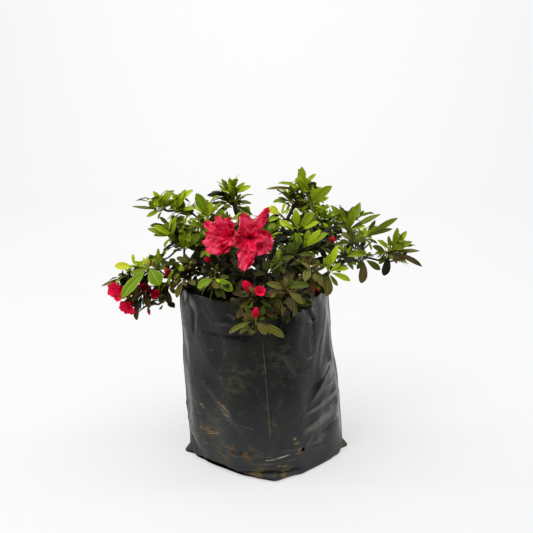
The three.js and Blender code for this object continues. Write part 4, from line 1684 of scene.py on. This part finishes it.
    def rosette(self, at: ndarray, axis: ndarray, growth: Growth, shoot: Shoot | None = None) -> None:
        """Grows the whorl of leaves at the end of a shoot.

        Args:
            at: Its node.
            axis: The way that the shoot grows.
            growth: The kind of shoot.
            shoot: The listed shoot, if this is one.
        """
        habit = growth.value
        sunward = 0.35 * axis + 0.4 * UP + 0.75 * VIEWER
        fan = [Ray(*values) for values in shoot.fan] if shoot else []
        for i, ray in enumerate(fan):
            lean = self.rng.uniform(-0.5, 0.3) if ray.lean is None else ray.lean
            flat = math.sqrt(1 - lean * lean)
            angle = math.radians(ray.bearing)
            chord = np.array((math.cos(angle) * flat, lean, math.sin(angle) * flat))
            base = at + 1.0 * chord - axis * self.rng.uniform(0, 3)
            tint = ray.tint or (shoot.tints[i % len(shoot.tints)] if shoot.tints else self.draw_tint(habit))
            slender = ray.slender or shoot.slender
            self.add_leaf(base, chord, ray.reach / flat, habit, tint, sunward, slender, by_hand=True)
        wanted = int(self.rng.integers(habit.leaves[0], habit.leaves[1] + 1))
        count = max(2, wanted - len(fan)) if fan else wanted
        if shoot and shoot.inner is not None:
            count = shoot.inner
        first = square_to(axis, self.rng.normal(size=3))
        second = np.cross(axis, first)
        for i in range(count):
            share = (i + 0.5) / count
            polar = math.radians(np.interp(share, (0, 1), habit.polar) + self.rng.normal(0, 7))
            turn = i * GOLDEN_ANGLE + self.rng.normal(0, 0.2)
            out = math.cos(turn) * first + math.sin(turn) * second
            if fan:
                out = square_to(axis, out * (0.5, 1.0, 0.5) - 0.5 * VIEWER)
            chord = math.cos(polar) * axis + math.sin(polar) * out
            length = np.interp(share, (0, 0.35, 1), (habit.length[0], habit.length[1], habit.length[1]))
            length *= self.rng.uniform(0.72, 1.05) * (0.85 if fan else 1.0)
            base = at - axis * (5 * share) + out * 0.9
            self.add_leaf(base, chord, length, habit, self.draw_tint(habit), 0.9 * axis + 0.4 * UP)

    def twig_leaves(self, path: ndarray, growth: Growth) -> None:
        """Grows the older leaves that are left along a twig below its whorl.

        Args:
            path: The twig's middle line.
            growth: The kind of shoot at its end.
        """
        older = {FLUSH: MATURE, YOUNG: MATURE}.get(growth, growth)
        habit = older.value
        run = run_of(path)
        turn = self.rng.uniform(0, 2 * math.pi)
        place = run[-1] - 8.0
        while place > 0.35 * run[-1] and place > 6:
            at = np.array([np.interp(place, run, path[:, k]) for k in range(3)])
            nearest = min(int(np.searchsorted(run, place)), len(path) - 1)
            along = unit(path[nearest] - path[nearest - 1])
            first = square_to(along, UP + 0.01 * VIEWER)
            out = math.cos(turn) * first + math.sin(turn) * np.cross(along, first)
            polar = math.radians(self.rng.uniform(50, 100))
            chord = math.cos(polar) * along + math.sin(polar) * out
            length = habit.length[1] * self.rng.uniform(0.5, 0.85)
            self.add_leaf(at + out, chord, length, habit, self.draw_tint(habit), along + 0.8 * UP)
            turn += GOLDEN_ANGLE
            place -= self.rng.uniform(5.5, 9.5)


    def start_joints(self) -> None:
        """Lists the places on the boughs that twigs may spring from."""
        for name in self.limbs.boughs:
            path = self.limbs.path(name)
            run = run_of(path)
            for i in range(6, len(path) - 1, 3):
                self.joints.append(Joint(path[i], unit(path[i + 1] - path[i - 1]), run[i]))

    def join(self, at: ndarray, axis: ndarray, growth: Growth) -> None:
        """Grows a twig to a shoot from the joint that takes the least wood.

        Args:
            at: The shoot's node.
            axis: The way that the shoot grows.
            growth: The kind of shoot.
        """
        starts = np.array([joint.at for joint in self.joints])
        ways = np.array([joint.along for joint in self.joints])
        gaps = at - starts
        far = np.linalg.norm(gaps, axis=1)
        heading = np.einsum("ij,ij->i", gaps, ways) / np.maximum(far, 1e-6)
        arriving = gaps @ axis / np.maximum(far, 1e-6)
        cost = far * (1 + 0.5 * (1 - heading) + 0.7 * (1 - arriving))
        cost += 0.1 * np.array([joint.reach for joint in self.joints]) + np.where(far < 5, 1e3, 0)
        start = self.joints[int(np.argmin(cost))]
        gap = np.linalg.norm(at - start.at)
        sway = self.rng.normal(0, 0.05 * gap, 3)
        path = bezier(
            (start.at, start.at + start.along * 0.3 * gap + sway, at - axis * 0.35 * gap - sway, at), 9
        )
        thick = self.twig_tip + 0.009 * gap
        self.twigs.append(Bar(path, np.linspace(thick + 0.3, self.twig_tip, len(path))))
        habit = growth.value
        if habit.stalk:
            tip = np.array((at - axis * habit.stalk * 0.6, at + axis * 1.5))
            self.green.append(Bar(tip, np.array((0.95, 0.8))))
        for i in range(3, 9, 2):
            self.joints.append(Joint(path[i], unit(path[i + 1] - path[i - 1]), start.reach + gap * i / 9))
        self.twig_leaves(path, growth)


    def grow(self) -> None:
        """Places every shoot, joins it to the wood, and gives it its leaves."""
        self.start_joints()
        shoots = []
        for shoot in FRONT_SHOOTS:
            at = Box.of(f"foliage_{shoot.mass}").place(shoot.at)
            shoots.append((at, unit(shoot.lean), shoot.growth, shoot))
        for mass in self.masses:
            if mass != "foliage_blooms":
                shoots += [(at, axis, growth, None) for at, axis, growth in self.seeded(mass)]
        fork = self.limbs.stem()[-1]
        shoots.sort(key=lambda shoot: np.linalg.norm(shoot[0] - fork))
        for at, axis, growth, shoot in shoots:
            if shoot is None and self.in_gap((at,)):
                continue
            self.join(at, axis, growth)
            self.rosette(at, axis, growth, shoot)
        LOG.info("%d shoots carry %d leaves", len(shoots), len(self.leaves))

    def build(self) -> list[Object]:
        """Builds the leaves, one piece for each tint, and the twigs."""
        self.grow()
        made = []
        for tint in Tint:
            same = [leaf for leaf in self.leaves if leaf.tint is tint]
            if not same:
                continue
            name = f"leaves_{tint.name.lower()}"
            *colours, gloss = tint.value
            blade, rib = (
                PlainSkin(f"azalea_leaf_{part}_{tint.name.lower()}", colour, 0.4, gloss).material()
                for part, colour in zip(("blade", "rib"), colours)
            )
            mesh = self.shape.mesh(name, same)
            made.append(piece(name, mesh, [blade, rib], self.masses))
        wood = PlainSkin("young_azalea_twig", "#3d2419", 0.65).material()
        sap = PlainSkin("green_azalea_shoot", "#8d9a45", 0.55).material()
        made.append(piece("twigs", bars_mesh("twigs", self.twigs, 8), [wood]))
        made.append(piece("green_shoots", bars_mesh("green_shoots", self.green, 8), [sap]))
        return made


# ---- blossom

@dataclass(frozen=True)
class PetalForm:
    """One petal: its bearing round the flower, its reach and breadth, and how it opens (mm, degrees)."""

    bearing: float
    reach: float
    breadth: float
    opening: float = 68.0  # from the flower's axis, at the rim
    ruffle: float = 1.8
    turns: float = 3.0  # ruffles along the rim
    tip: float = 0.45  # breadth of the tip, as a share of the petal's


@dataclass(frozen=True)
class Bloom:
    """One flower: its throat in a mass's box, the way it faces, and its petals."""

    mass: str
    at: tuple[float, float, float]
    facing: tuple[float, float, float]
    petals: tuple[PetalForm, ...]


@dataclass(frozen=True)
class Bud:
    """One closed bud: its place in a mass's box, the way it points, and its size (mm)."""

    mass: str
    at: tuple[float, float, float]
    aim: tuple[float, float, float]
    length: float
    width: float


def petals(*sizes: tuple[float, ...]) -> tuple[PetalForm, ...]:
    """Returns petals of some sizes."""
    return tuple(PetalForm(*values) for values in sizes)


def small_flower(reach: float, opening: float, turn: float) -> tuple[PetalForm, ...]:
    """Returns the five petals of a smaller flower, with one petaloid inside them."""
    outer = tuple(
        (turn + 72 * i, reach * (1 - 0.08 * (i % 2)), 1.25 * reach, opening, 0.045 * reach, 1.6, 0.7)
        for i in range(5)
    )
    return petals(*outer, (turn + 40, 0.5 * reach, 0.7 * reach, 0.6 * opening, 0.06 * reach, 2.0, 0.5))


OPEN_BLOOMS = (
    Bloom("blooms", (0.25, -0.1, 0.0), (0.12, -0.97, 0.15), petals(
        (60, 33, 10, 76, 1.2, 3.0, 0.62), (112, 25, 16, 66, 1.8, 3.0, 0.42),
        (-25, 22, 25, 70, 2.4, 4.5, 0.7), (-62, 19, 15, 60, 2.0, 3.0, 0.5),
        (-107, 33, 18, 78, 2.0, 4.0, 0.5), (205, 17, 19, 58, 1.8, 2.5, 0.5),
        (158, 15, 17, 54, 1.6, 2.5, 0.5), (125, 10, 9, 34, 1.4, 2.0, 0.5), (60, 10, 9, 30, 1.4, 2.0, 0.5),
        (-88, 13, 10, 38, 1.5, 2.0, 0.5), (-8, 13, 10, 40, 1.5, 2.0, 0.5),
    )),
    Bloom("blooms", (-0.18, 0.3, 0.02), (-0.35, -0.92, 0.12), petals(
        (153, 27, 12, 76, 1.4, 2.5, 0.2), (112, 21, 16, 62, 1.8, 2.5, 0.5),
        (78, 19, 12, 58, 1.6, 2.5, 0.45), (210, 25, 25, 72, 1.8, 3.0, 0.75),
        (248, 19, 20, 62, 1.8, 3.0, 0.6), (182, 15, 10, 46, 1.6, 2.0, 0.4), (232, 13, 9, 40, 1.5, 2.0, 0.4),
        (20, 12, 11, 44, 1.4, 2.0, 0.5), (320, 12, 11, 44, 1.4, 2.0, 0.5),
    )),
    # the flowers and half-open buds at the left tip
    Bloom("left_tip", (-0.1, -0.2, -0.08), (-0.6, -0.76, -0.12), small_flower(10.5, 46, 20)),
    Bloom("left_tip", (0.1, -0.25, -0.5), (-0.4, -0.78, -0.45), small_flower(9.5, 50, 50)),
    Bloom("left_tip", (0.1, 0.1, -0.36), (-0.6, -0.5, 0.2), small_flower(6.5, 34, 10)),
    Bloom("left_tip", (0.38, 0.2, -0.38), (0.1, -0.6, 0.6), small_flower(5.5, 26, 30)),
    Bloom("left_droop", (-0.5, -0.1, 0.68), (0.6, -0.7, -0.2), small_flower(5.5, 30, 70)),
    # deep in the right-hand side
    Bloom("lower_right", (-0.95, 0.1, -0.2), (0.15, -0.9, -0.3), small_flower(10.5, 52, 15)),
    Bloom("centre_right", (-0.2, 0.6, -0.62), (0.1, -0.9, 0.2), small_flower(9.5, 52, 40)),
    # an opening bud over the low front
    Bloom("front_low", (0.2, -0.05, 0.42), (0.1, -0.8, 0.45), small_flower(5.5, 38, 5)),
)


@dataclass
class Blossom:
    """The open blooms, the smaller flowers and the buds."""

    across: int = 15
    along: int = 14
    petal: Petal = Petal()
    scroll: float = 1.7  # turns of petal that a bud is rolled from
    buds: tuple[Bud, ...] = (
        Bud("front_low", (0.1, -0.6, -0.25), (0.0, -0.3, 1.0), 11.5, 8),
        Bud("front_low", (0.02, 0.1, 0.44), (-0.6, -0.35, 0.72), 17, 9),
        Bud("left_tuft", (-0.35, -0.4, -0.4), (-0.8, -0.2, 0.5), 9, 6),
        Bud("left_tuft", (0.9, -0.6, -1.1), (-0.4, -0.4, 0.9), 11, 7),
        Bud("left_base", (0.9, -0.8, 0.35), (-0.2, -0.4, 0.9), 9, 6.5),
        Bud("centre_right", (0.95, 0.5, -0.2), (0.1, -0.4, 1.0), 8, 6),
        Bud("left_droop", (-0.5, -0.3, -0.1), (0.2, -0.4, -0.7), 6, 3.5),
    )

    def petal_points(self, form: PetalForm, rng: Generator) -> ndarray:
        """Shapes one petal in its flower's own frame.

        Args:
            form: The petal.
            rng: Where the ruffles' phases are drawn from.

        Returns:
            Its points by row and column, with Z along the flower's axis and X towards the viewer's right.
        """
        v = np.linspace(0, 1, self.along + 1)[:, None]
        u = np.linspace(-1, 1, self.across)[None, :]
        slope = math.radians(form.opening) * smooth_step(0.08, 0.6, v) + 0.55 * np.clip(v - 0.6, 0, 1)
        middle = (slope[1:] + slope[:-1]) / 2
        out = np.vstack([[[0.0]], np.cumsum(np.sin(middle), axis=0)]) / self.along
        up = np.vstack([[[0.0]], np.cumsum(np.cos(middle), axis=0)]) / self.along
        scale = form.reach / out[-1, 0]
        levels = (0, 0.12, 0.3, 0.5, 0.68, 0.85, 1)
        shares = (0.14, 0.24, 0.56, 0.86, 1.0, 0.5 * form.tip + 0.65, 0.6 * form.tip + 0.42)
        width = 0.5 * form.breadth * np.interp(v, levels, shares)
        first, second, third = rng.uniform(0, 2 * math.pi, 3)
        waves = np.sin(math.pi * form.turns * (0.8 * u + 1.3 * v) + first)
        waves += 0.6 * np.sin(math.pi * form.turns * 1.7 * (u - 0.8 * v) + second)
        waves += 0.15 * np.sin(math.pi * form.turns * 3.1 * (0.5 * u + v) + third)
        edge = (np.abs(u) ** 1.3 + 0.45 * v ** 4) * v ** 1.2
        frill = 0.05 * np.sin(math.pi * form.turns * 2.6 * v + second) * np.abs(u) ** 6 * v
        side = u * width * (1 + frill) + 0.03 * form.reach * np.sin(2.5 * v + third)
        cup = 0.5 * u ** 2 * width * (1 - 0.9 * v)
        channel = -0.16 * width * hill(u, 0, 0.22) * smooth_step(0.1, 0.5, v)
        lift = cup + channel + 1.7 * form.ruffle * edge * waves
        scallop = 0.03 * form.reach * np.cos(math.pi * form.turns * u + first) * smooth_step(0.75, 1, v)
        rounded = 1 - 0.34 * (1 - np.sqrt(1 - 0.96 * u ** 2)) * v ** 2
        radial = out * scale * rounded + scallop - 0.6 * lift * np.cos(slope)
        height = up * scale + lift * np.sin(slope) + 0.35 * lift
        angle = math.radians(form.bearing)
        x = radial * math.cos(angle) - side * math.sin(angle)
        y = radial * math.sin(angle) + side * math.cos(angle)
        return np.stack([x, y, height], axis=-1)

    def scroll_points(self, bud: Bud) -> ndarray:
        """Rolls one bud from a sheet of petal, as rows and columns in its own frame."""
        v = np.linspace(0, 1, self.along + 1)[:, None]
        u = np.linspace(0, 1, 3 * self.across)[None, :]
        angle = 2 * math.pi * self.scroll * u + 1.3 * v
        profile = np.interp(v, (0, 0.15, 0.45, 0.75, 0.92, 1), (0.3, 0.72, 1.0, 0.86, 0.52, 0.12))
        lobes = 1 + 0.06 * np.cos(2.5 * angle)
        radius = 0.5 * bud.width * profile * (0.74 + 0.26 * u) * lobes
        height = bud.length * v * (1 - 0.03 * np.cos(5 * math.pi * u))
        return np.stack([radius * np.cos(angle), radius * np.sin(angle), height], axis=-1)

    def placed(self, mass: str, at: Sequence[float], aim: Sequence[float], grid: ndarray) -> ndarray:
        """Sets a flower's own points in the plant.

        Args:
            mass: The mass that it grows in.
            at: Its place in the mass's box.
            aim: The way that its axis points.
            grid: Its points, by row and column.

        Returns:
            The points in the frame, by row and column.
        """
        axis = unit(aim)
        top = square_to(axis, UP + 0.01 * VIEWER)
        right = np.cross(top, axis)
        return Box.of(f"foliage_{mass}").place(at) + grid @ np.array((right, top, axis))

    def sheets(self, name: str, grids: Sequence[ndarray], claw: float = 0.0, rim: float = 1.0) -> Mesh:
        """Joins sheets of petal in one mesh.

        Args:
            name: Name of the mesh.
            grids: Points by row and column, all of one shape.
            claw: Where on the petal's map the lowest row lies.
            rim: Where on the petal's map the highest row lies.

        Returns:
            The mesh, with its petal map.
        """
        rows, columns = grids[0].shape[:2]
        faces = grid_faces(len(grids), rows, columns)[:, (0, 3, 2, 1)]
        mesh = mesh_of(name, np.concatenate([grid.reshape(-1, 3) for grid in grids]), faces)
        u, v = np.meshgrid(np.linspace(0, 1, columns), np.linspace(claw, rim, rows))
        sheet = np.tile(np.c_[u.ravel(), v.ravel()], (len(grids), 1))
        layer = mesh.uv_layers.new(name=PETAL_MAP)
        layer.data.foreach_set("uv", sheet[faces.ravel()].ravel())
        return mesh

    def stalks(self) -> Mesh:
        """Builds the green stalks and calyxes behind the flowers and buds."""
        bars = []
        for flower in (*OPEN_BLOOMS[2:], *self.buds):
            aim = unit(flower.facing if isinstance(flower, Bloom) else flower.aim)
            at = Box.of(f"foliage_{flower.mass}").place(flower.at)
            path = bezier((at + 1.5 * aim, at - 4 * aim, at - 8 * aim + 2 * UP * (aim[2] < 0)), 6)
            bars.append(Bar(path, np.array((2.0, 1.5, 0.9, 0.6, 0.55, 0.55, 0.6))))
        return bars_mesh("flower_stalks", bars, 8)

    def build(self) -> list[Object]:
        """Builds the blooms, the buds and their stalks."""
        rng = np.random.default_rng(41)
        velvet = self.petal.material()
        made = []
        groups = {
            "right_bloom": (OPEN_BLOOMS[:1], 0.0, 1.0),
            "left_bloom": (OPEN_BLOOMS[1:2], 0.0, 1.0),
            "small_flowers": (OPEN_BLOOMS[2:], 0.18, 0.5),
        }
        for name, (blooms, claw, rim) in groups.items():
            grids = [
                self.placed(bloom.mass, bloom.at, bloom.facing, self.petal_points(form, rng))
                for bloom in blooms for form in bloom.petals
            ]
            mesh = self.sheets(name, grids, claw, rim)
            made.append(piece(name, mesh, [velvet], ["foliage_blooms"]))
        rolls = [self.placed(bud.mass, bud.at, bud.aim, self.scroll_points(bud)) for bud in self.buds]
        made.append(piece("flower_buds", self.sheets("flower_buds", rolls, 0.02, 0.34), [velvet]))
        sap = PlainSkin("flower_stalk", "#74702f", 0.55).material()
        made.append(piece("flower_stalks", self.stalks(), [sap]))
        return made


# ---- studio

@dataclass
class Studio:
    """A light table in a dim room, soft lights and the camera."""

    pitch: float = -10.8
    lens: float = 61.8
    front: float = -1700.0
    back: float = 3000.0
    half_width: float = 3000.0
    wall: float = 2400.0
    bend: float = 900.0
    room: float = 0.12  # brightness of the room behind the camera
    sheet: LightTable = LightTable()

    def sweep(self) -> Object:
        """Builds the floor, which curves up into a wall behind the plant."""
        turns = np.linspace(0, math.pi / 2, 14)
        flat = self.back - self.bend
        profile = [(self.front, 0.0), (-500.0, 0.0), (0.0, 0.0), (900.0, 0.0)]
        profile += [(flat + self.bend * math.sin(t), self.bend * (1 - math.cos(t))) for t in turns]
        profile.append((self.back, self.wall))
        form = bmesh.new()
        corners = [form.verts.new((-self.half_width * MM, y * MM, z * MM)) for y, z in profile]
        edges = [form.edges.new(pair) for pair in zip(corners, corners[1:])]
        made = bmesh.ops.extrude_edge_only(form, edges=edges)
        strip = [part for part in made["geom"] if isinstance(part, bmesh.types.BMVert)]
        bmesh.ops.translate(form, vec=(2 * self.half_width * MM, 0, 0), verts=strip)
        for face in form.faces:
            if face.normal.z - face.normal.y < 0:
                face.normal_flip()
        mesh = bpy.data.meshes.new("light_table")
        form.to_mesh(mesh)
        form.free()
        mesh.shade_smooth()
        mesh.materials.append(self.sheet.material())
        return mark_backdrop(linked("light_table", mesh))

    def light(
        self, name: str, at: Sequence[float], aim: Sequence[float], size: tuple[float, float], watts: float
    ) -> None:
        """Hangs one soft box.

        Args:
            name: Its name.
            at: Where it hangs (mm).
            aim: The point that it faces (mm).
            size: Its width and height (mm).
            watts: Its power.
        """
        lamp = bpy.data.lights.new(name, "AREA")
        lamp.shape = "RECTANGLE"
        lamp.size, lamp.size_y = size[0] * MM, size[1] * MM
        lamp.energy = watts
        thing = linked(name, lamp)
        thing.location = np.array(at, float) * MM
        way = Vector(np.array(aim, float) - np.array(at, float))
        thing.rotation_euler = way.to_track_quat("-Z", "Y").to_euler()

    def build(self) -> None:
        """Sets the stage, the lights and the camera."""
        self.sweep()
        world = bpy.data.worlds.new("studio_room")
        world.use_nodes = True
        backdrop = world.node_tree.nodes["Background"]
        backdrop.inputs["Color"].default_value = (1.0, 1.0, 1.0, 1.0)
        backdrop.inputs["Strength"].default_value = self.room
        scene = bpy.context.scene
        scene.world = world
        self.light("top_box", (-100, -300, 1900), (0, 0, 200), (2200, 2200), 43)
        self.light("key_box", (-700, -1300, 1500), (0, 0, 220), (500, 500), 10)
        self.light("left_strip", (-1300, 150, 450), (0, 0, 120), (160, 1000), 5)
        self.light("right_strip", (1300, 250, 450), (0, 0, 120), (160, 1000), 5)
        self.light("wall_wash", (0, 1300, 2300), (0, 3000, 1150), (3600, 500), 70)
        lens = bpy.data.cameras.new("camera")
        lens.lens = self.lens
        lens.sensor_width = 36.0
        lens.clip_end = 20.0
        camera = linked("camera", lens)
        camera.location = EYE * MM
        camera.rotation_euler = (math.radians(90 + self.pitch), 0, 0)
        scene.camera = camera
        scene.view_settings.view_transform = "Standard"


# ---- assembly


def main() -> None:
    """Builds the plant piece by piece and reports each one."""
    logging.basicConfig(level=logging.INFO, format="%(message)s")
    bag = NurseryBag()
    limbs = Limbs()
    made = [
        bag.build(),
        *GrowingMedium(bag).build(),
        limbs.build(),
        *Crown(limbs, bag).build(),
        *Blossom().build(),
    ]
    for thing in made:
        LOG.info("%s: %d faces", thing.name, len(thing.data.polygons))
    Studio().build()


if __name__ == "__main__":
    main()
